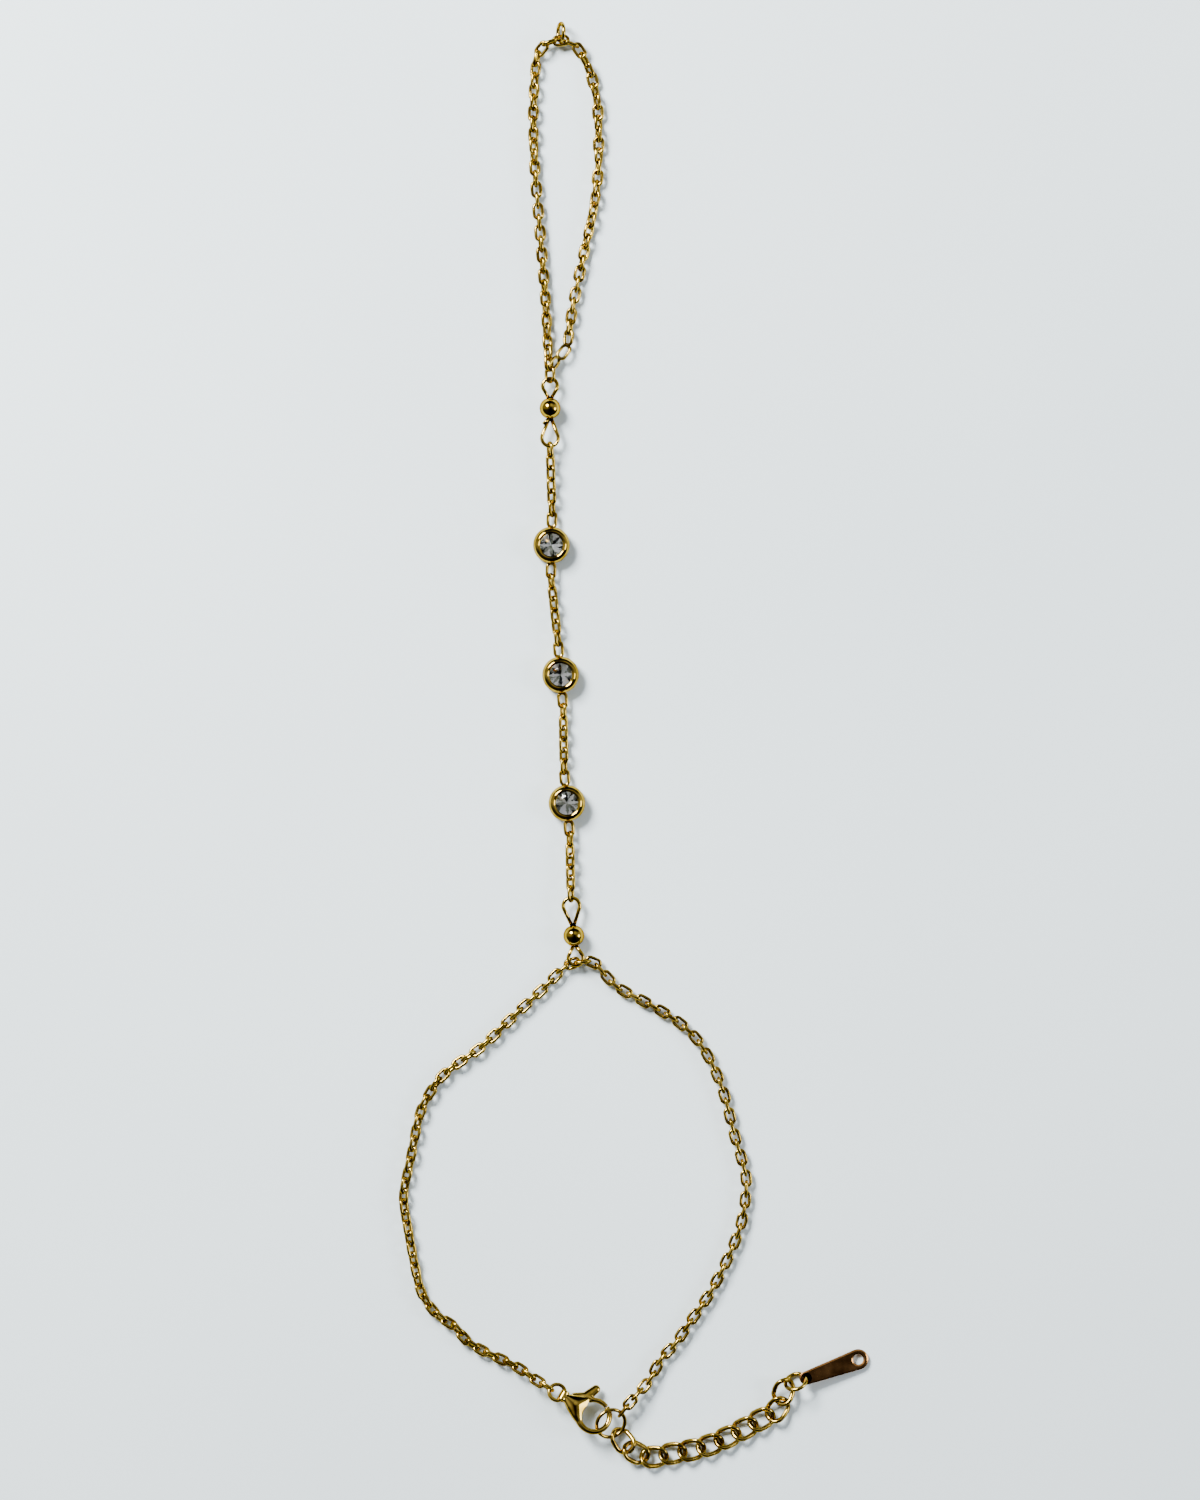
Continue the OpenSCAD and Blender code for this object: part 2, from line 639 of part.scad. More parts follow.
// Both ends of the finger loop hang on the joining link, the right one over the left one.
// The loop's top link lies flat, is drawn with the left strand and carries the top ring.
joining_link = down_hand(
  UPPER_BEAD,
  link_wire + eye_wire / 2 + JOINING_EYE_PLAY - joining_l / 2 - short_eye_reach - short_eye_r,
  0, bead_z
);
joining_across = [-sin(JOINING_ROLL), 0, cos(JOINING_ROLL)];
function loop_start(side, ahead) =
  joining_link + [0, joining_l / 2 - 1.5 * link_wire - JOINING_ALONG_PLAY, 0]
    + side * (link_wire / 2 + JOINING_ACROSS_PLAY) * joining_across
    + (link_l - link_wire) / 2 * ahead / norm(ahead);
LOOP_LEFT_AHEAD = [-0.02, 1.04, -0.05];
LOOP_RIGHT_AHEAD = [0.44, 1.09, -0.16];
module loop_chain_left() {
  color(GOLD)
    cable_chain(
      concat([loop_start(-1, LOOP_LEFT_AHEAD)], LOOP_LEFT, [TOP_LINK]),
      roll_for(LOOP_LEFT_AHEAD, joining_across), 0, LOOP_LEFT_TURN
    );
}
module loop_chain_right() {
  color(GOLD)
    cable_chain(
      concat([loop_start(1, LOOP_RIGHT_AHEAD)], LOOP_RIGHT, [TOP_LINK]),
      roll_for(LOOP_RIGHT_AHEAD, joining_across), 0, LOOP_RIGHT_TURN, last = 1
    );
}
module loop_joining_link() {
  color(GOLD)
    stand(joining_link, [0, 1, 0], JOINING_ROLL)
      oval_link(joining_l, joining_w, link_wire);
}
module upper_bead_wire() {
  color(GOLD) down_the_hand(UPPER_BEAD, bead_z) bead_wire(0, 180);
}
module upper_bead() { color(GOLD) down_the_hand(UPPER_BEAD, bead_z) bead(); }
module lower_bead_wire() {
  color(GOLD) down_the_hand(LOWER_BEAD, bead_z) bead_wire(180, 0);
}
module lower_bead() { color(GOLD) down_the_hand(LOWER_BEAD, bead_z) bead(); }
module hand_chain_1() {
  color(GOLD) chain_between(bead_eye(UPPER_BEAD, 1), bezel_eye(BEZEL_1, -1), eye_wire, loop_wire);
}
module hand_chain_2() {
  color(GOLD) chain_between(bezel_eye(BEZEL_1, 1), bezel_eye(BEZEL_2, -1), loop_wire, loop_wire);
}
module hand_chain_3() {
  color(GOLD) chain_between(bezel_eye(BEZEL_2, 1), bezel_eye(BEZEL_3, -1), loop_wire, loop_wire);
}
module hand_chain_4() {
  color(GOLD) chain_between(bezel_eye(BEZEL_3, 1), bead_eye(LOWER_BEAD, -1), loop_wire, eye_wire);
}
module bezel_1() { color(GOLD) down_the_hand(BEZEL_1, 0) bezel(); }
module bezel_2() { color(GOLD) down_the_hand(BEZEL_2, 0) bezel(); }
module bezel_3() { color(GOLD) down_the_hand(BEZEL_3, 0) bezel(); }
module stone_1() { color(GLASS) down_the_hand(BEZEL_1, stone_z) stone(); }
module stone_2() { color(GLASS) down_the_hand(BEZEL_2, stone_z) stone(); }
module stone_3() { color(GLASS) down_the_hand(BEZEL_3, stone_z) stone(); }

// The middle link of the wrist chain stands on edge and holds one side of the lower bead's eye
middle_link = down_hand(
  LOWER_BEAD, short_eye_reach + MIDDLE_HOLD[0] * short_eye_r, MIDDLE_HOLD[1] * short_eye_r,
  bead_z + eye_wire / 2 + link_play - (joining_w / 2 - link_wire)
);
module wrist_chain_left() {
  tail_link = clasp_place(clasp_ring_shift - 2 * clasp_ring_r - hang(ring_wire), 0, 0);
  color(GOLD) {
    translate(middle_link)
      rotate([90, 0, LOWER_BEAD[2]])
        oval_link(joining_l, joining_w, link_wire);
    cable_chain(
      concat([middle_link], WRIST_LEFT, [tail_link]), 90, 90 + CLASP_ROLL, first = 1
    );
  }
}
end_ring_r = (end_ring_d - end_ring_wire) / 2;
module wrist_chain_right() {
  end_link = on_ring(
    END_RING, END_RING_TILT, END_RING_LEAN, end_ring_r, END_CHAIN_HANG, hang(end_ring_wire)
  );
  color(GOLD)
    cable_chain(
      concat([middle_link], WRIST_RIGHT, [end_link + link_pitch * END_CHAIN_HANG[1], end_link]),
      90, 90, first = 1
    );
}
module clasp_ring() {
  color(GOLD)
    clasp_frame()
      translate([clasp_ring_shift - clasp_ring_r, 0, 0])
        ring(clasp_ring_d, ring_wire);
}
module clasp_body() { color(GOLD) clasp_frame() clasp_body_solid(); }
module clasp_lever() { color(GOLD) clasp_frame() clasp_lever_solid(); }
module end_ring() {
  color(GOLD) translate(END_RING) rotate([0, END_RING_TILT, END_RING_LEAN]) ring(end_ring_d, end_ring_wire);
}
tag_ring_middle = TAG_EYE
  - (tag_ring_d - ring_wire) / 2 * [cos(TAG_YAW), sin(TAG_YAW), 0];
module extender_chain() {
  start = on_ring(
    END_RING, END_RING_TILT, END_RING_LEAN, end_ring_r, END_EXTENDER_HANG, curb_hang(end_ring_wire)
  );
  end = on_ring(
    tag_ring_middle, 0, TAG_YAW + 180, (tag_ring_d - ring_wire) / 2, TAG_EXTENDER_HANG,
    curb_hang(ring_wire) - EXTENDER_SINK
  );
  path = curve(concat([start, start + EXTENDER_LEAD * END_EXTENDER_HANG[1]], EXTENDER, [end]));
  runs = run_lengths(path);
  total = runs[len(runs) - 1];
  steps = ceil(total / curb_pitch);
  reach = curb_pitch / 2;
  color(GOLD)
    for (i = [0 : steps]) {
      s = total * i / steps;
      stand(
        along(path, runs, s),
        along(path, runs, min(s + reach, total)) - along(path, runs, max(s - reach, 0)),
        lookup(i / steps, EXTENDER_ROLL)
      )
        curb_link();
    }
}
module tag_ring() {
  color(GOLD)
    translate(tag_ring_middle)
      rotate([TAG_RING_TILT, 0, TAG_YAW + 180])
        ring(tag_ring_d, ring_wire);
}
module end_tag() {
  color(GOLD)
    translate(TAG_EYE - [0, 0, tag_t / 2])
      rotate([0, -TAG_PITCH, TAG_YAW])
        tag_solid();
}

loop_top_ring();
loop_chain_left();
loop_chain_right();
loop_joining_link();
upper_bead_wire();
upper_bead();
hand_chain_1();
bezel_1();
stone_1();
hand_chain_2();
bezel_2();
stone_2();
hand_chain_3();
bezel_3();
stone_3();
hand_chain_4();
lower_bead_wire();
lower_bead();
wrist_chain_left();
wrist_chain_right();
clasp_ring();
clasp_body();
clasp_lever();
end_ring();
extender_chain();
tag_ring();
end_tag();
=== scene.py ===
"""Dresses the hand chain bracelet: gold plated metal, foil backed stones, a pale floor and soft light.

The classes of the bracelet give their sizes in millimetres, and the Studio in metres unless a
name ends in mm. A name with share in it is a part of another size, and one with steps counts
faces or points.
"""

import logging
import math
from dataclasses import dataclass
from enum import Enum
from typing import Callable, Sequence

import bpy
import numpy as np
from bpy.types import Material, MeshPolygon, MeshVertex, Node, NodeSocket, NodeTree, Object
from mathutils import Matrix, Vector

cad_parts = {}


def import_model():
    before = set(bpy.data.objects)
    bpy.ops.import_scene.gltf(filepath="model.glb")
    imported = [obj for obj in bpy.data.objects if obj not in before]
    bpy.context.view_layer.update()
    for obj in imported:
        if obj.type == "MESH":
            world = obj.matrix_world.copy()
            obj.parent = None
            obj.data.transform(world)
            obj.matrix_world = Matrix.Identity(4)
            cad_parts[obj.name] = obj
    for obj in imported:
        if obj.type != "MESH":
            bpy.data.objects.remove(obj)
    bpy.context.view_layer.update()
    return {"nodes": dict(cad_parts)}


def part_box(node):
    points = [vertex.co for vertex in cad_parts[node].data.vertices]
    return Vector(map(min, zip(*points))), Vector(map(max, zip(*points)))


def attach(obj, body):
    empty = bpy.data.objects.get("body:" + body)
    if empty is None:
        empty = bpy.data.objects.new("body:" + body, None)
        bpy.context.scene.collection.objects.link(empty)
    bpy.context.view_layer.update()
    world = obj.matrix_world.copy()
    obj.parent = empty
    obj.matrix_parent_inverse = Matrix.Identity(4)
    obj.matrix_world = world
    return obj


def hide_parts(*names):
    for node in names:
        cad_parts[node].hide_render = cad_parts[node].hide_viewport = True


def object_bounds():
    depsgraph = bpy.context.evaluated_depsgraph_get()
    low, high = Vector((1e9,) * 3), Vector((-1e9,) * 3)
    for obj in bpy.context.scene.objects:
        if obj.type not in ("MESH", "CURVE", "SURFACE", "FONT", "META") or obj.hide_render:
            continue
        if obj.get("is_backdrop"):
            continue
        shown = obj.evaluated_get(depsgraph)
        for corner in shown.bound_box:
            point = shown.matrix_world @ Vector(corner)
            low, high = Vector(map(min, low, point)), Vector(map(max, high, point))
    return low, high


Pair = tuple[float, float]
Triple = tuple[float, float, float]

LOG = logging.getLogger("bracelet")
MM = 0.001

# Points closer than this are one point
MERGE_MM = 0.001
# Blender's bevel resolution of bent wire: 12 faces round it
WIRE_RESOLUTION = 5
# Sockets of Blender's Mix node when it mixes colours
MIX_A, MIX_B, MIX_RESULT = 6, 7, 2

# Each stone lies turned by this much more than the one before, so that no two look alike
STONE_TURN_DEG = 78.75

# The picture's frame: its scale and the pixel that the model's origin falls on
PIXELS_PER_MM = 7.0
IMAGE_W = 1200
IMAGE_H = 1500
ORIGIN_PIXEL_X = 560.6
ORIGIN_PIXEL_Y = 674.9


class Body(Enum):
    """The CAD bodies that pieces ride on."""

    CHAIN = "chain"
    LEVER = "lever"


class Slot(Enum):
    """The record's material slots."""

    METAL = "gold_metal"
    STONE = "clear_stone"


class Element(Enum):
    """What edit mode selects."""

    VERTEX = "VERT"
    FACE = "FACE"


class Axis(Enum):
    """Axes that a deform, a turn or a tone follows."""

    X = "X"
    Y = "Y"
    Z = "Z"


def linear(hex_colour: str) -> tuple[float, float, float, float]:
    """Turns an sRGB hex colour into a linear one.

    Args:
        hex_colour: six digits after a hash sign.

    Returns:
        Red, green, blue and an alpha of one.
    """
    parts = [int(hex_colour[i : i + 2], 16) / 255 for i in (1, 3, 5)]
    turned = [p / 12.92 if p <= 0.04045 else ((p + 0.055) / 1.055) ** 2.4 for p in parts]
    return (turned[0], turned[1], turned[2], 1.0)


def add_node(tree: NodeTree, kind: str, settings: dict | None = None, links: dict | None = None) -> Node:
    """Adds a node with its settings and its incoming links.

    Args:
        tree: the node tree.
        kind: the node's class name.
        settings: input name or index, or else attribute name, and its value.
        links: input name or index and the output that feeds it.

    Returns:
        The new node.
    """
    node = tree.nodes.new(kind)
    for name, value in (settings or {}).items():
        if isinstance(name, str) and name not in node.inputs:
            setattr(node, name, value)
        else:
            node.inputs[name].default_value = value
    for name, output in (links or {}).items():
        tree.links.new(output, node.inputs[name])
    return node


def blank_material(name: str) -> tuple[Material, NodeTree, Node, NodeSocket]:
    """Starts a node material.

    Args:
        name: the material's name.

    Returns:
        The material, its tree, its shader and the Object coordinates that its patterns read.
    """
    material = bpy.data.materials.new(name)
    material.use_nodes = True
    tree = material.node_tree
    place = add_node(tree, "ShaderNodeTexCoord")
    return material, tree, tree.nodes["Principled BSDF"], place.outputs["Object"]


def ramp_stops(node: Node, stops: Sequence[tuple[float, str]]) -> None:
    """Sets a colour ramp's stops.

    Args:
        node: the ramp's node.
        stops: place and hex colour of each stop.
    """
    ramp = node.color_ramp
    while len(ramp.elements) > 1:
        ramp.elements.remove(ramp.elements[-1])
    ramp.elements[0].position, ramp.elements[0].color = stops[0][0], linear(stops[0][1])
    for place, colour in stops[1:]:
        ramp.elements.new(place).color = linear(colour)


@dataclass(frozen=True)
class PlatedSteel:
    """Gold coloured plating on stainless steel, tumbled and polished.

    The coating is thin and even, so the eye sees a mirror with soft edges: cream where a lamp
    shows in it, deep brown where the dark room does. Tumbling leaves faint ripples and patches
    that are a little duller. The ripples are drawn coarser than real ones, so that they show.
    """

    name: str
    light: str
    deep: str
    roughness: float
    dull: float
    edge: str = "#8A6E34"
    patch_mm: float = 1.6
    patch_tones: Pair = (0.3, 0.7)
    patch_gloss: Pair = (0.35, 0.75)
    ripple_mm: float = 0.35
    ripple_depth_mm: float = 0.004
    ripple_strength: float = 0.25

    def material(self) -> Material:
        """Builds the node material.

        Returns:
            The material, ready for a slot.
        """
        material, tree, shader, place = blank_material(self.name)
        patches = add_node(
            tree, "ShaderNodeTexNoise",
            {"Scale": 1 / (self.patch_mm * MM), "Detail": 3.0, "Roughness": 0.55},
            {"Vector": place},
        )
        tint = add_node(tree, "ShaderNodeValToRGB", links={"Fac": patches.outputs["Fac"]})
        ramp_stops(tint, list(zip(self.patch_tones, (self.deep, self.light))))
        gloss = add_node(
            tree, "ShaderNodeMapRange",
            {
                "From Min": self.patch_gloss[0], "From Max": self.patch_gloss[1],
                "To Min": self.roughness, "To Max": self.dull,
            },
            {"Value": patches.outputs["Fac"]},
        )
        ripple = add_node(
            tree, "ShaderNodeTexNoise",
            {"Scale": 1 / (self.ripple_mm * MM), "Detail": 2.0}, {"Vector": place},
        )
        bump = add_node(
            tree, "ShaderNodeBump",
            {"Strength": self.ripple_strength, "Distance": self.ripple_depth_mm * MM},
            {"Height": ripple.outputs["Fac"]},
        )
        shader.inputs["Metallic"].default_value = 1.0
        shader.inputs["Specular Tint"].default_value = linear(self.edge)
        tree.links.new(tint.outputs["Color"], shader.inputs["Base Color"])
        tree.links.new(gloss.outputs["Result"], shader.inputs["Roughness"])
        tree.links.new(bump.outputs["Normal"], shader.inputs["Normal"])
        return material


@dataclass(frozen=True)
class CutGlass:
    """Lead glass, machine cut and polished.

    Its high index gives the sparkle, and the polish leaves only a breath of haze on the facets.
    """

    name: str
    tint: str
    ior: float = 1.6
    haze_mm: float = 0.5
    haze: float = 0.03

    def material(self) -> Material:
        """Builds the node material.

        Returns:
            The material, ready for a slot.
        """
        material, tree, shader, place = blank_material(self.name)
        shader.inputs["Base Color"].default_value = linear(self.tint)
        shader.inputs["Transmission Weight"].default_value = 1.0
        shader.inputs["IOR"].default_value = self.ior
        haze = add_node(
            tree, "ShaderNodeTexNoise",
            {"Scale": 1 / (self.haze_mm * MM), "Detail": 2.0}, {"Vector": place},
        )
        gloss = add_node(
            tree, "ShaderNodeMapRange", {"To Min": 0.0, "To Max": self.haze}, {"Value": haze.outputs["Fac"]}
        )
        tree.links.new(gloss.outputs["Result"], shader.inputs["Roughness"])
        return material


@dataclass(frozen=True)
class SilverFoil:
    """Silver laid by vapour on the back of a stone.

    It throws the light back out, partly as a mirror and partly as a pale glow, and it is a
    little cloudy where the coat is thin. Its tones also paint reflection: the stones' facets take a
    bright, a grey or a dark copy.
    """

    name: str
    light: str
    grey: str
    mirror: float = 0.62
    roughness: float = 0.06
    cloud_mm: float = 0.8
    cloud_tones: Pair = (0.35, 0.65)

    def material(self) -> Material:
        """Builds the node material.

        Returns:
            The material, ready for a slot.
        """
        material, tree, shader, place = blank_material(self.name)
        cloud = add_node(
            tree, "ShaderNodeTexNoise",
            {"Scale": 1 / (self.cloud_mm * MM), "Detail": 2.0}, {"Vector": place},
        )
        tint = add_node(tree, "ShaderNodeValToRGB", links={"Fac": cloud.outputs["Fac"]})
        ramp_stops(tint, list(zip(self.cloud_tones, (self.grey, self.light))))
        shader.inputs["Metallic"].default_value = self.mirror
        shader.inputs["Roughness"].default_value = self.roughness
        tree.links.new(tint.outputs["Color"], shader.inputs["Base Color"])
        return material


@dataclass(frozen=True)
class PaperSweep:
    """Uncoated pale paper that the bracelet lies on: matt, with slow clouds from its making."""

    name: str
    pale: str
    shade: str
    cloud_mm: float = 111.1
    cloud_tones: Pair = (0.3, 0.7)
    roughness: float = 0.85
    gloss: float = 0.2

    def material(self) -> Material:
        """Builds the node material.

        Returns:
            The material, ready for a slot.
        """
        material, tree, shader, place = blank_material(self.name)
        cloud = add_node(
            tree, "ShaderNodeTexNoise",
            {"Scale": 1 / (self.cloud_mm * MM), "Detail": 2.0}, {"Vector": place},
        )
        tint = add_node(tree, "ShaderNodeValToRGB", links={"Fac": cloud.outputs["Fac"]})
        ramp_stops(tint, list(zip(self.cloud_tones, (self.shade, self.pale))))
        shader.inputs["Roughness"].default_value = self.roughness
        shader.inputs["Specular IOR Level"].default_value = self.gloss
        tree.links.new(tint.outputs["Color"], shader.inputs["Base Color"])
        return material


def deselect_all() -> None:
    """Deselects every object, because an operator acts on all that is selected."""
    bpy.ops.object.select_all(action="DESELECT")


def added(operator: Callable, **settings: object) -> Object:
    """Adds an object while nothing else is selected.

    Args:
        operator: the operator that adds it.
        settings: the operator's settings.

    Returns:
        The new object.
    """
    deselect_all()
    operator(**settings)
    return bpy.context.object


def pick(*objects: Object) -> Object:
    """Selects only these objects and makes the first one active.

    Args:
        objects: the objects to work on.

    Returns:
        The first of them.
    """
    deselect_all()
    for thing in objects:
        thing.select_set(True)
    bpy.context.view_layer.objects.active = objects[0]
    return objects[0]


def select_where(thing: Object, kind: Element, test: Callable[[MeshVertex | MeshPolygon], bool]) -> None:
    """Enters edit mode with only some vertices or faces selected.

    Args:
        thing: the mesh object.
        kind: what is selected.
        test: says of a vertex or a face whether it is wanted.
    """
    pick(thing)
    bpy.ops.object.mode_set(mode="EDIT")
    bpy.ops.mesh.select_mode(type=kind.value)
    bpy.ops.mesh.select_all(action="DESELECT")
    bpy.ops.object.mode_set(mode="OBJECT")
    for element in thing.data.vertices if kind is Element.VERTEX else thing.data.polygons:
        element.select = bool(test(element))
    bpy.ops.object.mode_set(mode="EDIT")


def select_everything(thing: Object) -> None:
    """Enters edit mode with the whole mesh selected, its loose wires too.

    Args:
        thing: the mesh object.
    """
    pick(thing)
    bpy.ops.object.mode_set(mode="EDIT")
    bpy.ops.mesh.select_mode(type=Element.VERTEX.value)
    bpy.ops.mesh.select_all(action="SELECT")


def leave_edit() -> None:
    """Goes back to object mode."""
    bpy.ops.object.mode_set(mode="OBJECT")


def smooth_by_angle(thing: Object, widest_deg: float) -> None:
    """Shades as one the faces that meet at less than an angle."""
    pick(thing)
    bpy.ops.object.shade_smooth_by_angle(angle=math.radians(widest_deg))


def round_sharp_edges(thing: Object, radius_mm: float, segments: int, sharper_than_deg: float) -> None:
    """Rounds the edges at which faces turn by more than an angle.

    Args:
        thing: the mesh object.
        radius_mm: the radius.
        segments: how many faces go round an edge.
        sharper_than_deg: the least turn that is rounded.
    """
    bevel = thing.modifiers.new("rounding", "BEVEL")
    bevel.width = radius_mm * MM
    bevel.segments = segments
    bevel.angle_limit = math.radians(sharper_than_deg)
    apply_modifiers(thing)


def apply_modifiers(thing: Object) -> None:
    """Applies all of an object's modifiers in order."""
    pick(thing)
    for name in [m.name for m in thing.modifiers]:
        bpy.ops.object.modifier_apply(modifier=name)


def bake_place(thing: Object) -> Object:
    """Moves an object's place into its mesh.

    Args:
        thing: the mesh object.

    Returns:
        The same object, now at the origin, unturned and unscaled.
    """
    bpy.context.view_layer.update()
    thing.data.transform(thing.matrix_world)
    thing.matrix_world = Matrix.Identity(4)
    return thing


def tidy_normals(thing: Object) -> None:
    """Merges doubles and turns every face outwards.

    Args:
        thing: the mesh object.
    """
    select_everything(thing)
    bpy.ops.mesh.remove_doubles(threshold=MERGE_MM * MM)
    bpy.ops.mesh.normals_make_consistent(inside=False)
    leave_edit()


def join(name: str, things: Sequence[Object]) -> Object:
    """Joins objects into the first of them.

    Args:
        name: the joined piece's name.
        things: the objects, at least one.

    Returns:
        The joined object.
    """
    first = pick(*things)
    if len(things) > 1:
        bpy.ops.object.join()
    first.name = name
    return first


def copy_of(thing: Object, name: str) -> Object:
    """Copies an object with a mesh of its own.

    Args:
        thing: the object.
        name: the copy's name.

    Returns:
        The copy.
    """
    twin = thing.copy()
    twin.data = thing.data.copy()
    twin.name = name
    twin.parent = None
    twin.animation_data_clear()
    bpy.context.scene.collection.objects.link(twin)
    return twin


def stamp(name: str, template: Object, poses: Sequence[Matrix]) -> Object:
    """Copies a template to every pose and joins the copies into one piece.

    Args:
        name: the piece's name.
        template: the finished single shape, centred on the origin; it is removed.
        poses: where each copy goes.

    Returns:
        The joined piece.
    """
    copies = []
    for index, pose in enumerate(poses):
        twin = copy_of(template, f"{name}_{index}")
        twin.data.transform(pose)
        copies.append(twin)
    bpy.data.objects.remove(template)
    return join(name, copies)


def turned(angle_deg: float, axis: Axis) -> Matrix:
    """A turn about one axis."""
    return Matrix.Rotation(math.radians(angle_deg), 4, axis.value)


@dataclass
class Frame:
    """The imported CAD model, read as places for the dressed pieces."""

    nodes: dict[str, Object]

    def solids(self, node: str) -> list[np.ndarray]:
        """Splits a CAD node into its loose solids.

        Args:
            node: the CAD node's name.

        Returns:
            The corner points of each solid, in metres.
        """
        mesh = self.nodes[node].data
        # Corners closer than this, in metres, are one corner
        weld = 1e-7
        corners = np.empty(len(mesh.vertices) * 3, np.float32)
        mesh.vertices.foreach_get("co", corners)
        corners = corners.reshape(-1, 3).astype(float)
        _, first, same = np.unique(
            np.round(corners / weld).astype(np.int64), axis=0, return_index=True, return_inverse=True
        )
        loops = np.empty(len(mesh.loops), np.int32)
        mesh.loops.foreach_get("vertex_index", loops)
        triangles = same.reshape(-1)[loops].reshape(-1, 3)
        label = np.arange(len(first))
        while True:
            low = label[triangles].min(axis=1)
            spread = label.copy()
            for corner in range(3):
                np.minimum.at(spread, triangles[:, corner], low)
            spread = spread[spread]
            if (spread == label).all():
                break
            label = spread
        points = corners[first]
        return [points[label == value] for value in np.unique(label)]

    def poses(self, node: str) -> list[Matrix]:
        """Finds the pose of each solid of a node: X its longest axis, Z its thinnest.

        Args:
            node: the CAD node's name.

        Returns:
            One matrix for each solid.
        """
        return [fitted_pose(points) for points in self.solids(node)]

    def lying_pose(self, node: str) -> Matrix:
        """Finds the pose of a node that lies flat: X along it, Z up, the origin at its foot.

        Args:
            node: the CAD node's name.

        Returns:
            The pose.
        """
        points = np.concatenate(self.solids(node))
        low, high = points.min(axis=0), points.max(axis=0)
        middle = (low + high) / 2
        flat = points[:, :2] - middle[:2]
        along = np.linalg.svd(flat, full_matrices=False)[2][0]
        angle = math.atan2(along[1], along[0])
        angle += math.pi if math.sin(angle) < 0 else 0
        return Matrix.Translation((middle[0], middle[1], low[2])) @ Matrix.Rotation(angle, 4, "Z")


def fitted_pose(points: np.ndarray) -> Matrix:
    """Fits a frame to a solid's points: X its longest axis, Z its thinnest, its box's middle.

    Args:
        points: the solid's points in metres.

    Returns:
        The pose as a right-handed frame.
    """
    centre = points.mean(axis=0)
    axes = np.linalg.svd(points - centre, full_matrices=False)[2]
    if np.linalg.det(axes) < 0:
        axes[2] = -axes[2]
    local = (points - centre) @ axes.T
    middle = centre + ((local.min(axis=0) + local.max(axis=0)) / 2) @ axes
    pose = Matrix([list(row) for row in axes.T]).to_4x4()
    pose.translation = Vector(middle)
    return pose


@dataclass
class Part:
    """A sub-assembly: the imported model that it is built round, and the material of its metal."""

    frame: Frame
    finish: Material

    def dress(
        self, piece: Object, nodes: Sequence[str], body: Body = Body.CHAIN, slot: Slot = Slot.METAL
    ) -> None:
        """Gives a finished piece its material and its place in the frame.

        Args:
            piece: the finished piece, its place in its mesh; one that has materials keeps them.
            nodes: the CAD nodes that it stands for.
            body: the CAD body that it rides on.
            slot: not used.
        """
        if not piece.data.materials:
            piece.data.materials.append(self.finish)
        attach(piece, body.value)
        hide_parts(*nodes)
        LOG.info("%s stands for %s with %d faces", piece.name, ", ".join(nodes), len(piece.data.polygons))


def ring_shape(outside_mm: float, wire_mm: float, steps: int = 64, wire_steps: int = 20) -> Object:
    """Makes a closed round ring in the XY plane by spinning its wire's circle round the origin.

    Args:
        outside_mm: its outside diameter.
        wire_mm: its wire's diameter.
        steps: how many segments go round the ring.
        wire_steps: how many go round the wire.

    Returns:
        The smooth ring.
    """
    ring = bake_place(added(
        bpy.ops.mesh.primitive_circle_add, vertices=wire_steps, radius=wire_mm / 2 * MM,
        location=((outside_mm - wire_mm) / 2 * MM, 0, 0), rotation=(math.pi / 2, 0, 0),
    ))
    select_everything(ring)
    bpy.ops.mesh.spin(steps=steps, angle=2 * math.pi, center=(0, 0, 0), axis=(0, 0, 1))
    leave_edit()
    tidy_normals(ring)
    bpy.ops.object.shade_smooth()
    return ring


def oval_shape(
    length_mm: float, width_mm: float, wire_mm: float, steps: int = 24, wire_steps: int = 10
) -> Object:
    """Makes an oval link along X by pulling the two halves of a ring apart.

    Args:
        length_mm: its outside length.
        width_mm: its outside width.
        wire_mm: its wire's diameter.
        steps: how many segments go round the ring.
        wire_steps: how many go round the wire.

    Returns:
        The smooth link.
    """
    link = ring_shape(width_mm, wire_mm, steps, wire_steps)
    pull = (length_mm - width_mm) / 2 * MM
    for side in (-1, 1):
        select_where(link, Element.VERTEX, lambda vertex, side=side: vertex.co.x * side > MERGE_MM * MM)
        bpy.ops.transform.translate(value=(side * pull, 0, 0))
        leave_edit()
    return link


def wire_shape(route_mm: Sequence[Triple], wire_mm: float, widths: Sequence[float] | None = None) -> Object:
    """Bends round wire along a route.

    Args:
        route_mm: the points of the wire's middle.
        wire_mm: the wire's diameter.
        widths: the share of the diameter at each point, where it tapers.

    Returns:
        The smooth wire as a mesh with closed ends.
    """
    wire = added(bpy.ops.curve.primitive_nurbs_path_add)
    data = wire.data
    data.splines.clear()
    spline = data.splines.new("POLY")
    spline.points.add(len(route_mm) - 1)
    for index, place in enumerate(route_mm):
        spline.points[index].co = (place[0] * MM, place[1] * MM, place[2] * MM, 1.0)
        spline.points[index].radius = widths[index] if widths else 1.0
    data.bevel_depth = wire_mm / 2 * MM
    data.bevel_resolution = WIRE_RESOLUTION
    data.use_fill_caps = True
    pick(wire)
    bpy.ops.object.convert(target="MESH")
    wire = bpy.context.object
    tidy_normals(wire)
    bpy.ops.object.shade_smooth()
    return wire


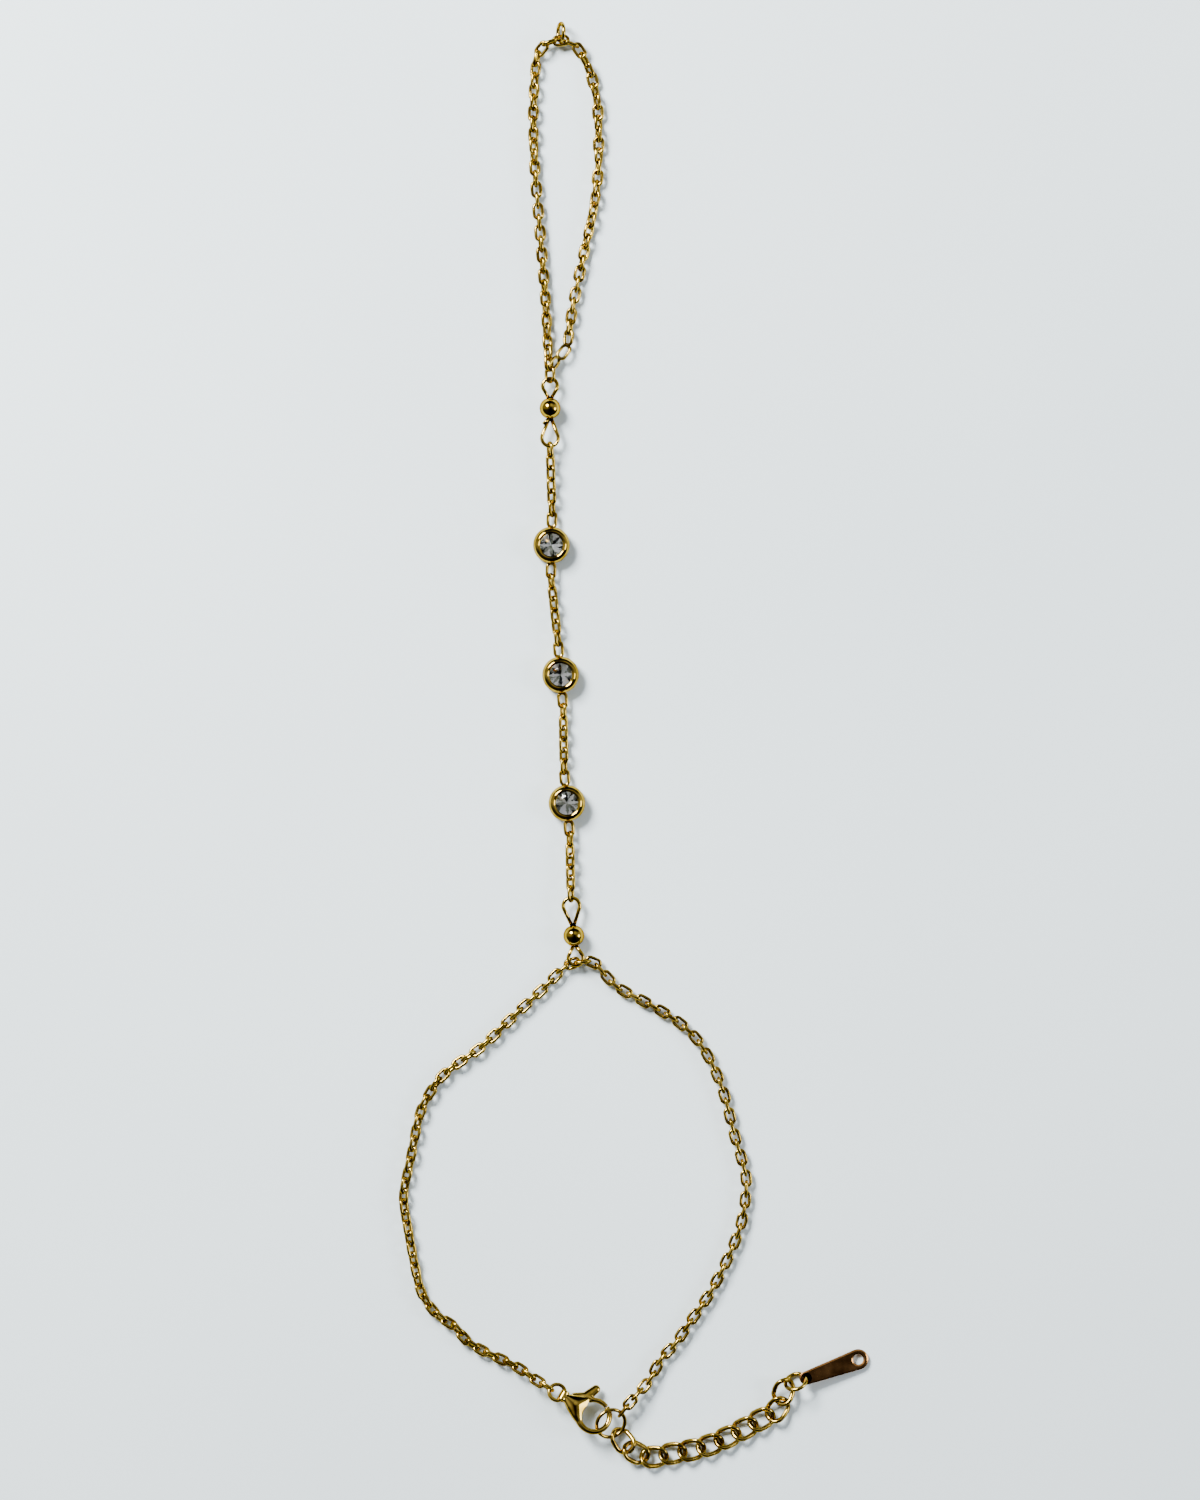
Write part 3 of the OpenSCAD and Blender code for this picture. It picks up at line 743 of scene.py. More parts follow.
@dataclass
class CableChains(Part):
    """Every strand of cable chain: round wire links soldered shut."""

    link_l: float = 2.62
    link_w: float = 1.72
    wire: float = 0.5
    joining_l: float = 2.62
    joining_w: float = 2.0
    strands: tuple[str, ...] = (
        "loop_chain_left", "loop_chain_right", "hand_chain_1", "hand_chain_2", "hand_chain_3",
        "hand_chain_4", "wrist_chain_left", "wrist_chain_right", "loop_joining_link",
    )

    def build(self) -> None:
        """Makes one piece for each strand, a link for each of its solids."""
        wide = (self.link_w + self.joining_w) / 2 * MM
        for strand in self.strands:
            small, large = [], []
            for points in self.frame.solids(strand):
                pose = fitted_pose(points)
                across = np.ptp((points - np.array(pose.translation)) @ np.array(pose.to_3x3())[:, 1])
                (large if across > wide else small).append(pose)
            parts = []
            if small:
                shape = oval_shape(self.link_l, self.link_w, self.wire)
                parts.append(stamp(f"{strand}_links", shape, small))
            if large:
                shape = oval_shape(self.joining_l, self.joining_w, self.wire)
                parts.append(stamp(f"{strand}_joining", shape, large))
            self.dress(join(f"{strand}_links", parts), [strand])


@dataclass
class Extender(Part):
    """The extender's curb links: ovals given a part of a turn about their long axis."""

    link_l: float = 4.3
    link_w: float = 3.32
    wire: float = 0.7
    turn_deg: float = 79.0
    steps: int = 40
    wire_steps: int = 12

    def build(self) -> None:
        """Makes the extender as one piece."""
        link = oval_shape(self.link_l, self.link_w, self.wire, self.steps, self.wire_steps)
        twist = link.modifiers.new("twist", "SIMPLE_DEFORM")
        twist.deform_method = "TWIST"
        twist.deform_axis = Axis.X.value
        twist.angle = math.radians(self.turn_deg)
        apply_modifiers(link)
        self.dress(stamp("extender_links", link, self.frame.poses("extender_chain")), ["extender_chain"])


@dataclass
class JumpRings(Part):
    """The round rings of the loop's top, the clasp, the hook's end and the tag."""

    sizes: tuple[tuple[str, float, float], ...] = (
        ("loop_top_ring", 3.1, 0.54), ("clasp_ring", 2.86, 0.56),
        ("tag_ring", 3.6, 0.56), ("end_ring", 4.78, 0.55),
    )

    def build(self) -> None:
        """Makes one piece for each ring."""
        for node, outside, wire in self.sizes:
            piece = stamp(f"{node}_wire", ring_shape(outside, wire), self.frame.poses(node))
            self.dress(piece, [node])


@dataclass
class BeadOnWire(Part):
    """A drilled bead on a wire whose ends are bent into teardrop eyes."""

    name: str
    long_eye_down: bool
    cut_end: bool = False
    bead_d: float = 3.0
    wire: float = 0.54
    hole_d: float = 0.9
    rim_round: float = 0.05
    neck: float = 1.22
    neck_gap: float = 0.06
    short_eye_r: float = 1.045
    short_eye_mid: float = 3.2
    long_eye_r: float = 1.17
    long_eye_mid: float = 4.25
    arc_steps: int = 36
    # The wire's cut end that shows beside the upper bead
    tip_mm: tuple[Triple, ...] = ((1.45, 0.15, 0.05), (2.3, 0.95, 0.1))

    def eye(self, side: int, radius: float, middle: float) -> list[Triple]:
        """Points of one eye from its neck round and back, along X from the bead's middle.

        Args:
            side: 1 or -1, the end of the wire.
            radius: radius of the eye's round end.
            middle: distance of the round end's middle from the bead's.

        Returns:
            The points in millimetres.
        """
        lean = math.asin(radius / (middle - self.neck))
        start = math.pi / 2 + lean
        points = [(side * self.neck, -self.neck_gap, 0.0)]
        for step in range(self.arc_steps + 1):
            angle = start - 2 * start * step / self.arc_steps
            points.append((side * (middle + radius * math.cos(angle)), -radius * math.sin(angle), 0.0))
        points.append((side * self.neck, self.neck_gap, 0.0))
        return points

    def build(self) -> None:
        """Makes the bead and its wire, two pieces."""
        pose = self.frame.lying_pose(f"{self.name}_wire")
        low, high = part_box(self.name)
        pose.translation = (low + high) / 2
        short_side = 1 if self.long_eye_down else -1
        eyes = [
            wire_shape(self.eye(short_side, self.short_eye_r, self.short_eye_mid), self.wire),
            wire_shape(self.eye(-short_side, self.long_eye_r, self.long_eye_mid), self.wire),
            wire_shape([(-self.neck, 0, 0), (0, 0, 0), (self.neck, 0, 0)], self.wire),
        ]
        if self.cut_end:
            tip = [(-x * short_side, y * short_side, z) for x, y, z in self.tip_mm]
            eyes.append(wire_shape(tip, self.wire))
        wire = join(f"{self.name}_eyes", eyes)
        wire.data.transform(pose)
        self.dress(wire, [f"{self.name}_wire"])
        ball = self.ball()
        ball.data.transform(pose)
        self.dress(ball, [self.name])

    def ball(self) -> Object:
        """Makes the drilled ball along X: a sphere whose poles are opened and joined by a bore.

        Returns:
            The ball at the origin.
        """
        ball = added(
            bpy.ops.mesh.primitive_uv_sphere_add, segments=64, ring_count=48, radius=self.bead_d / 2 * MM
        )
        ball.name = f"{self.name}_ball"
        hole = self.hole_d / 2 * MM
        select_where(ball, Element.FACE, lambda face: math.hypot(face.center.x, face.center.y) < hole)
        bpy.ops.mesh.delete(type="FACE")
        bpy.ops.mesh.select_mode(type="EDGE")
        bpy.ops.mesh.select_non_manifold()
        bpy.ops.mesh.bridge_edge_loops()
        leave_edit()
        tidy_normals(ball)
        ball.data.transform(turned(90, Axis.Y))
        round_sharp_edges(ball, self.rim_round, segments=3, sharper_than_deg=40)
        smooth_by_angle(ball, 50)
        return ball


@dataclass
class BezelAndStone(Part):
    """A turned bezel cup with a loop at each end and a round brilliant in it."""

    number: int
    # The stone's crown and what lies behind it: foil in bright, grey and dark copies that paint the facets'
    # reflections
    glass: Material
    painted_reflection_foils: Sequence[Material]
    # The cup: its outside, the rounded shoulder, the lip that holds the stone and the seat under it
    bezel_d: float = 5.2
    bezel_h: float = 2.5
    shoulder: float = 0.72
    shoulder_share: float = 0.93
    shoulder_profile: float = 0.34
    foot_weight: float = 0.35
    lip_w: float = 0.26
    lip_slope: float = 0.18
    lip_drop: float = 0.06
    lip_round: float = 0.03
    seat_drop: float = 0.5
    floor_t: float = 0.08
    stone_d: float = 3.6
    gap: float = 0.12
    # The side loops
    loop_l: float = 2.56
    loop_w: float = 1.6
    loop_wire: float = 0.48
    loop_middle: float = 3.64
    loop_h: float = 1.0
    loop_steps: int = 32
    loop_wire_steps: int = 12
    # The stone: shares of its diameter, and each row's lean as a share of the main facets' lean
    table_share: float = 0.285
    crown_share: float = 0.16
    pavilion_share: float = 0.42
    girdle_share: float = 0.03
    rim_to_table: float = 0.2
    mains: int = 8
    star_lean: float = 0.6
    upper_lean: float = 1.2
    lower_lean: float = 1.04
    girdle_lean: float = 0.1
    # Which foil tone, a painted reflection, each pavilion facet takes, going round, counted from 1
    painted_facet_reflections: tuple[int, ...] = (
        2, 1, 1, 3, 1, 2, 1, 2, 3, 2, 1, 1, 2, 1, 3, 1, 2, 1, 3, 2, 1, 3, 1, 2, 3, 1, 2, 1, 1, 2, 3, 1,
    )
    facet_turn: float = 0.0

    def build(self) -> None:
        """Makes the bezel and the stone, two pieces."""
        pose = self.frame.lying_pose(f"bezel_{self.number}")
        bits = [self.cup()]
        for side in (-1, 1):
            loop = oval_shape(
                self.loop_l, self.loop_w, self.loop_wire, self.loop_steps, self.loop_wire_steps
            )
            loop.data.transform(Matrix.Translation((side * self.loop_middle * MM, 0, self.loop_h * MM)))
            bits.append(loop)
        bezel = join(f"bezel_{self.number}_cup", bits)
        bezel.data.transform(pose)
        self.dress(bezel, [f"bezel_{self.number}"])
        stone = self.stone()
        stone.data.transform(pose)
        self.dress(stone, [f"stone_{self.number}"], slot=Slot.STONE)

    def cup(self) -> Object:
        """Makes the cup: a disc with its top inset and sunk, and its shoulder rounded.

        Returns:
            The cup, its foot at the origin.
        """
        radius, height = self.bezel_d / 2, self.bezel_h
        cup = bake_place(added(
            bpy.ops.mesh.primitive_cylinder_add,
            vertices=96, radius=radius * MM, depth=height * MM, location=(0, 0, height / 2 * MM),
        ))
        top = height * MM
        near = MERGE_MM * MM
        bore = self.stone_d / 2 + self.gap / 2
        select_where(cup, Element.FACE, lambda face: face.center.z > top - near)
        bpy.ops.mesh.inset(thickness=self.shoulder * MM)
        bpy.ops.mesh.inset(thickness=self.lip_w * MM, depth=-self.lip_slope * MM)
        bpy.ops.mesh.extrude_region_move(TRANSFORM_OT_translate={"value": (0, 0, -self.lip_drop * MM)})
        grow = bore / (radius - self.shoulder - self.lip_w)
        bpy.ops.mesh.extrude_region_move(TRANSFORM_OT_translate={"value": (0, 0, -self.seat_drop * MM)})
        bpy.ops.transform.resize(value=(grow, grow, 1))
        wall = height - self.floor_t - self.lip_slope - self.lip_drop - self.seat_drop
        bpy.ops.mesh.extrude_region_move(TRANSFORM_OT_translate={"value": (0, 0, -wall * MM)})
        leave_edit()
        outer = (radius - self.lip_w) * MM
        weights = cup.data.attributes.new("bevel_weight_edge", "FLOAT", "EDGE")
        for edge in cup.data.edges:
            ends = [cup.data.vertices[v].co for v in edge.vertices]
            if all(math.hypot(e.x, e.y) > outer for e in ends) and abs(ends[0].z - ends[1].z) < near:
                weights.data[edge.index].value = 1.0 if ends[0].z > top / 2 else self.foot_weight
        rounding = cup.modifiers.new("shoulder", "BEVEL")
        rounding.limit_method = "WEIGHT"
        rounding.width = self.shoulder * self.shoulder_share * MM
        rounding.segments = 10
        rounding.profile = self.shoulder_profile
        apply_modifiers(cup)
        round_sharp_edges(cup, self.lip_round, segments=2, sharper_than_deg=50)
        smooth_by_angle(cup, 40)
        return cup

    def stone(self) -> Object:
        """Cuts a round brilliant facet by facet from a round blank.

        Returns:
            The stone with its table just under the bezel's rim.
        """
        d = self.stone_d
        stone = added(bpy.ops.mesh.primitive_cylinder_add, vertices=64, radius=d / 2 * MM, depth=d * MM)
        stone.name = f"stone_{self.number}_cut"
        girdle = d * self.girdle_share / 2
        table_z = girdle + d * self.crown_share
        main = math.degrees(math.atan(self.crown_share / (0.5 - self.table_share)))
        back = math.degrees(math.atan(self.pavilion_share / 0.5))
        pitch = 360 / self.mains
        chord = d / 2 * math.cos(math.radians(pitch / 4))
        star_r = self.table_share * d * math.cos(math.radians(pitch / 2))
        self.cut(stone, 0, 0, 0, table_z)
        for k in range(self.mains):
            self.cut(stone, pitch * k, main, d / 2, girdle)
            self.cut(stone, pitch * (k + 0.5), main * self.star_lean, star_r, table_z)
            self.cut(stone, pitch * k, 180 - back, d / 2, -girdle)
        for k in range(2 * self.mains):
            around = pitch / 2 * (k + 0.5)
            self.cut(stone, around, main * self.upper_lean, chord, girdle)
            self.cut(stone, around, 180 - back * self.lower_lean, chord, -girdle)
        tidy_normals(stone)
        stone.data.transform(Matrix.Translation((0, 0, (self.bezel_h - self.rim_to_table - table_z) * MM)))
        for material in (self.glass, *self.painted_reflection_foils):
            stone.data.materials.append(material)
        # The girdle takes the bright foil and each pavilion facet one of three foil tones: painted
        # reflection, since the real foil is one even silver
        for face in stone.data.polygons:
            if face.normal.z > self.girdle_lean:
                continue
            azimuth = math.degrees(math.atan2(face.normal.y, face.normal.x)) % 360
            step = round((azimuth + self.facet_turn) / (pitch / 4)) % len(self.painted_facet_reflections)
            face.material_index = 1 if face.normal.z > -self.girdle_lean else self.painted_facet_reflections[step]
        return stone

    def cut(self, stone: Object, azimuth: float, tilt: float, radius: float, height: float) -> None:
        """Grinds one facet: cuts the blank with a plane and closes the cut.

        Args:
            stone: the blank.
            azimuth: the facet's direction round the stone in degrees.
            tilt: the facet's normal away from straight up in degrees.
            radius: distance of a point of the plane from the axis in millimetres.
            height: height of that point.
        """
        around, lean = math.radians(azimuth), math.radians(tilt)
        outward = (math.cos(around), math.sin(around))
        select_everything(stone)
        bpy.ops.mesh.bisect(
            plane_co=(outward[0] * radius * MM, outward[1] * radius * MM, height * MM),
            plane_no=(outward[0] * math.sin(lean), outward[1] * math.sin(lean), math.cos(lean)),
            use_fill=True, clear_outer=True, threshold=1e-9,
        )
        leave_edit()


@dataclass
class EndTag(Part):
    """The flat tapered tag: the cut plate, its rim rolled over by the punch and its edges tumbled."""

    rounding: float = 0.06
    roll_w: float = 0.22
    roll_drop: float = 0.07
    level: float = 0.9

    def build(self) -> None:
        """Makes the tag from a merged copy of its CAD plate."""
        tag = merged_copy(self.frame.nodes["end_tag"], "end_tag_plate")
        select_where(tag, Element.FACE, lambda face: face.normal.z > self.level)
        bpy.ops.transform.translate(value=(0, 0, -self.roll_drop * MM))
        bpy.ops.mesh.inset(thickness=self.roll_w * MM, depth=self.roll_drop * MM)
        leave_edit()
        round_sharp_edges(tag, self.rounding, segments=10, sharper_than_deg=50)
        smooth_by_angle(tag, 12)
        self.dress(tag, ["end_tag"])


def merged_copy(node: Object, name: str) -> Object:
    """Copies a CAD plate and merges its triangles into whole faces.

    Args:
        node: the plate's CAD node.
        name: the new piece's name.

    Returns:
        The plate.
    """
    plate = copy_of(node, name)
    plate.data.materials.clear()
    for key in list(plate.keys()):
        del plate[key]
    select_everything(plate)
    bpy.ops.mesh.remove_doubles(threshold=MERGE_MM * MM)
    bpy.ops.mesh.dissolve_limited(angle_limit=math.radians(1))
    leave_edit()
    return plate


@dataclass
class LobsterClasp(Part):
    """The lobster clasp: a cast body with its hook, and the sprung lever."""

    # Where the tail's middle lies, and the turns about Z and X in degrees
    place: Triple = (0.42, -102.77, 2.1)
    yaw: float = -29.5
    roll: float = -18.0
    # The hook's circle, and its wire and the gate's, which are cast thicker because tumbling thins them
    hook_x: float = 5.14
    hook_y: float = -0.35
    hook_r: float = 2.27
    hook_wire: float = 0.56
    hook_blank: float = 0.74
    hook_angles: Pair = (-140.0, 62.0)
    gate_blank: float = 0.62
    gate_angles: Pair = (65.0, 135.0)
    root_w: float = 1.25
    root_steps: float = 50.0
    hole_share: float = 0.9
    hole_shift: float = 0.12
    # The lever in its slot
    lever_t: float = 0.66
    play: float = 0.12
    slot_place: Pair = (2.65, 1.95)
    slot_size: Pair = (4.2, 4.0)
    cutter_h: float = 4.0
    # The tail, with the curved bore that the clasp's ring turns in
    tail_w: float = 1.5
    tail_d: float = 1.26
    tail_bore: float = 0.7
    ring_r: float = 1.18
    # The round masses: x, y and diameter, and for the body the height as a share of the diameter
    masses: tuple[tuple[float, float, float, float], ...] = (
        (0.55, 0.0, 1.25, 1.0), (2.0, -0.25, 2.6, 0.66), (3.2, 1.2, 1.0, 1.0),
        (2.8, -1.5, 1.3, 1.0), (3.75, -2.2, 0.75, 1.0),
    )
    lever_masses: tuple[tuple[Triple, ...], ...] = (
        ((1.4, 0.75, 0.96), (3.0, 1.6, 1.3)),
        ((3.0, 1.6, 1.3), (3.95, 1.66, 0.72)),
        ((3.0, 1.75, 1.4), (3.62, 3.2, 1.15)),
    )
    # How the casting is melted and tumbled
    grain: float = 0.07
    rounds: int = 9
    lever_grain: float = 0.05
    lever_rounds: int = 6
    swell: float = 0.04

    def pose(self) -> Matrix:
        """The clasp's frame: X from the tail to the hook, Y to the lever's side."""
        place = Matrix.Translation([v * MM for v in self.place])
        return place @ turned(self.yaw, Axis.Z) @ turned(self.roll, Axis.X)

    def build(self) -> None:
        """Makes the body and the lever, two pieces."""
        body = self.body()
        body.data.transform(self.pose())
        self.dress(body, ["clasp_body"])
        arms = [self.drawn([(x, y, d, self.lever_t / d) for x, y, d in arm]) for arm in self.lever_masses]
        arms.append(wire_shape(self.arc(*self.gate_angles), self.gate_blank))
        lever = join("clasp_lever_cast", arms)
        self.melt(lever, self.lever_grain, self.lever_rounds)
        lever.data.transform(self.pose())
        self.dress(lever, ["clasp_lever"], Body.LEVER)

    def ball(self, x: float, y: float, d: float, flat: float) -> Object:
        """Makes one of the round masses that a skin is drawn over.

        Args:
            x: its middle along the clasp.
            y: its middle across the clasp.
            d: its diameter.
            flat: its height as a share of its diameter.

        Returns:
            The mass.
        """
        ball = added(
            bpy.ops.mesh.primitive_uv_sphere_add,
            segments=32, ring_count=16, radius=d / 2 * MM, location=(x * MM, y * MM, 0),
        )
        ball.scale = (1, 1, flat)
        return bake_place(ball)

    def drawn(self, masses: Sequence[tuple[float, float, float, float]]) -> Object:
        """Draws one skin over round masses.

        Args:
            masses: place, diameter and flatness of each ball.

        Returns:
            The closed skin.
        """
        mass = join("skin", [self.ball(*ball) for ball in masses])
        select_everything(mass)
        bpy.ops.mesh.convex_hull()
        leave_edit()
        return mass

    def arc(self, first: float, last: float, steps: int = 40) -> list[Triple]:
        """Points along the hook's circle.

        Args:
            first: the first angle in degrees.
            last: the last angle.
            steps: how many parts the arc has.

        Returns:
            The points in the clasp's frame.
        """
        angles = [math.radians(first + (last - first) * step / steps) for step in range(steps + 1)]
        return [
            (self.hook_x + self.hook_r * math.cos(angle), self.hook_y + self.hook_r * math.sin(angle), 0.0)
            for angle in angles
        ]

    def cylinder(self, x: float, y: float, d: float, h: float, turn: Matrix | None = None) -> Object:
        """Makes a round cutter or boss.

        Args:
            x: its middle along the clasp.
            y: its middle across the clasp.
            d: its diameter.
            h: its height.
            turn: how it is turned from upright.

        Returns:
            The cylinder.
        """
        shape = added(bpy.ops.mesh.primitive_cylinder_add, vertices=64, radius=d / 2 * MM, depth=h * MM)
        if turn:
            shape.data.transform(turn)
        shape.data.transform(Matrix.Translation((x * MM, y * MM, 0)))
        return shape

    def melt(self, thing: Object, grain_mm: float, rounds: int) -> None:
        """Melts a shape's parts into one casting, swells it and tumbles its edges, which shrinks it.

        Args:
            thing: the shape.
            grain_mm: the size of the new mesh's cells.
            rounds: how often it is smoothed.
        """
        melt = thing.modifiers.new("melt", "REMESH")
        melt.mode = "VOXEL"
        melt.voxel_size = grain_mm * MM
        melt.use_smooth_shade = True
        swell = thing.modifiers.new("swell", "DISPLACE")
        swell.strength = self.swell * MM
        swell.mid_level = 0.0
        tumble = thing.modifiers.new("tumble", "SMOOTH")
        tumble.factor = 0.5
        tumble.iterations = rounds
        apply_modifiers(thing)

    def cut_out(self, thing: Object, cutter: Object) -> None:
        """Cuts one shape out of another and removes the cutter.

        Args:
            thing: the shape that stays.
            cutter: the shape that is cut out of it.
        """
        cut = thing.modifiers.new("cut", "BOOLEAN")
        cut.operation = "DIFFERENCE"
        cut.solver = "EXACT"
        cut.object = cutter
        apply_modifiers(thing)
        bpy.data.objects.remove(cutter)

    def body(self) -> Object:
        """Makes the cast body: a drawn mass, the hook and the tail, melted into one and cut.

        Returns:
            The body in the clasp's frame.
        """
        mass = self.drawn(self.masses)
        inner = (2 * self.hook_r - self.hook_wire) * self.hole_share
        hole = (self.hook_x + self.hole_shift, self.hook_y - self.hole_shift)
        self.cut_out(mass, self.cylinder(*hole, inner, self.cutter_h))
        route = self.arc(*self.hook_angles)
        widths = [max(1.0, self.root_w - step / self.root_steps) for step in range(len(route))]
        hook = wire_shape(route, self.hook_blank, widths)
        tail = self.cylinder(0, 0, self.tail_d, self.tail_w, turned(90, Axis.X))
        body = join("clasp_body_cast", [mass, hook, tail])
        self.melt(body, self.grain, self.rounds)
        self.cut_out(body, self.slot_cutter())
        self.cut_out(body, self.ring_cutter())
        smooth_by_angle(body, 40)
        return body

    def slot_cutter(self) -> Object:
        """Makes the block that cuts the lever's slot.

        Returns:
            The cutter in the clasp's frame.
        """
        place = (*(v * MM for v in self.slot_place), 0)
        cutter = added(bpy.ops.mesh.primitive_cube_add, size=1, location=place)
        cutter.scale = (*(v * MM for v in self.slot_size), (self.lever_t + 2 * self.play) * MM)
        return bake_place(cutter)

    def ring_cutter(self) -> Object:
        """Makes the ring that cuts the curved bore, which the clasp's own ring turns in.

        Returns:
            The cutter in the clasp's frame.
        """
        cutter = ring_shape(2 * self.ring_r + self.tail_bore, self.tail_bore)
        sag = (self.ring_r - math.sqrt(self.ring_r ** 2 - (self.tail_w / 2) ** 2)) / 2
        cutter.data.transform(Matrix.Translation(((sag - self.ring_r) * MM, 0, 0)))
        return cutter


@dataclass
class Studio:
    """The pale floor, the soft lamps, the room and the camera straight above."""

    camera_h: float = 0.8
    sensor_mm: float = 36.0
    near_clip: float = 0.01
    floor_size: float = 2.0
    floor_gap_mm: float = 0.005
    lamps: tuple[tuple[str, Triple, float, float, str], ...] = (
        ("key", (-0.30, 0.33, 0.46), 0.24, 13.5, "#FFFFFF"),
        ("sparkle", (-0.26, 0.26, 0.50), 0.06, 1.0, "#FFFFFF"),
        ("fill", (0.60, -0.05, 0.36), 0.25, 3.0, "#F3F7FF"),
    )
    lamp_aim: Triple = (0.0, -0.01, 0.0)
    # The room's tones from left to right and from the clasp's end to the loop's, and its two bright patches
    across: tuple[tuple[float, str], ...] = (
        (0.0, "#C8CED2"), (0.2, "#FFFFFF"), (0.36, "#A8A8A8"), (0.49, "#241811"),
        (0.66, "#241811"), (0.80, "#AEB4B8"), (1.0, "#F4F8FA"),
    )
    along: tuple[tuple[float, str], ...] = (
        (0.0, "#262422"), (0.36, "#444240"), (0.52, "#FFFFFF"),
        (0.74, "#F0F0F0"), (0.85, "#585858"), (1.0, "#303030"),
    )
    skylight: Triple = (0.27, 0.52, 0.81)
    skylight_edge: float = 0.92
    skylight_tint: str = "#F4F8FA"
    softbox: Triple = (-0.47, 0.51, 0.72)
    softbox_edges: Pair = (0.965, 0.985)
    softbox_glow: float = 3.0

    def build(self) -> None:
        """Makes the floor, the world, the lamps and the camera."""
        self.floor()
        self.world()
        for lamp in self.lamps:
            self.lamp(*lamp)
        self.camera()

    def floor(self) -> None:
        """Lays the sweep just under the bracelet's lowest point."""
        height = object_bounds()[0][2] - self.floor_gap_mm * MM
        floor = bake_place(added(
            bpy.ops.mesh.primitive_plane_add, size=self.floor_size, location=(0, 0, height)
        ))
        floor.name = "paper_floor"
        # Uncoated paper: its matt fibres scatter the light, so shadows stay soft and it never shines
        floor.data.materials.append(PaperSweep("matt_paper", "#E8F5F8", "#DFECF0").material())
        floor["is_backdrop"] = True

    def world(self) -> None:
        """Sets the room: pale walls at the left and the right, dark overhead, and two bright patches."""
        world = bpy.data.worlds.new("room")
        bpy.context.scene.world = world
        world.use_nodes = True
        tree = world.node_tree
        background = tree.nodes["Background"]
        place = add_node(tree, "ShaderNodeTexCoord").outputs["Generated"]
        parts = add_node(tree, "ShaderNodeSeparateXYZ", links={"Vector": place})
        walls = []
        for axis, stops in ((Axis.X, self.across), (Axis.Y, self.along)):
            share = add_node(
                tree, "ShaderNodeMapRange", {"From Min": -1.0, "From Max": 1.0},
                {"Value": parts.outputs[axis.value]},
            )
            wall = add_node(tree, "ShaderNodeValToRGB", links={"Fac": share.outputs["Result"]})
            ramp_stops(wall, stops)
            walls.append(wall.outputs["Color"])
        both = add_node(
            tree, "ShaderNodeMix", {"data_type": "RGBA", "blend_type": "MULTIPLY", "Factor": 1.0},
            {MIX_A: walls[0], MIX_B: walls[1]},
        )
        patch = self.toward(tree, place, self.skylight, (self.skylight_edge, 1.0), (0.0, 1.0))
        window = add_node(
            tree, "ShaderNodeMix", {"data_type": "RGBA", MIX_B: linear(self.skylight_tint)},
            {"Factor": patch, MIX_A: both.outputs[MIX_RESULT]},
        )
        glow = self.toward(tree, place, self.softbox, self.softbox_edges, (1.0, self.softbox_glow))
        tree.links.new(window.outputs[MIX_RESULT], background.inputs["Color"])
        tree.links.new(glow, background.inputs["Strength"])

    def toward(
        self, tree: NodeTree, place: NodeSocket, aim: Sequence[float],
        edges: Pair, values: Pair,
    ) -> NodeSocket:
        """Gives a value that rises round one direction of the room.

        Args:
            tree: the world's nodes.
            place: the direction that is looked in.
            aim: the direction in the middle.
            edges: cosines of the angles at which the rise starts and ends.
            values: what it rises from and to.

        Returns:
            The value's socket.
        """
        beam = add_node(
            tree, "ShaderNodeVectorMath",
            {"operation": "DOT_PRODUCT", 1: Vector(aim).normalized()}, {0: place},
        )
        rise = add_node(
            tree, "ShaderNodeMapRange",
            {"From Min": edges[0], "From Max": edges[1], "To Min": values[0], "To Max": values[1]},
            {"Value": beam.outputs["Value"]},
        )
        return rise.outputs["Result"]

    def lamp(
        self, name: str, place: Triple, size: float, power: float, colour: str
    ) -> None:
        """Adds a square soft lamp that points at the bracelet.

        Args:
            name: the lamp's name.
            place: where it hangs, in metres.
            size: its side in metres.
            power: its watts.
            colour: its hex colour.
        """
        lamp = added(bpy.ops.object.light_add, type="AREA", location=place)
        lamp.name = name
        lamp.data.size = size
        lamp.data.energy = power
        lamp.data.color = linear(colour)[:3]
        aim = Vector(self.lamp_aim) - Vector(place)
        lamp.rotation_euler = aim.to_track_quat("-Z", "Y").to_euler()

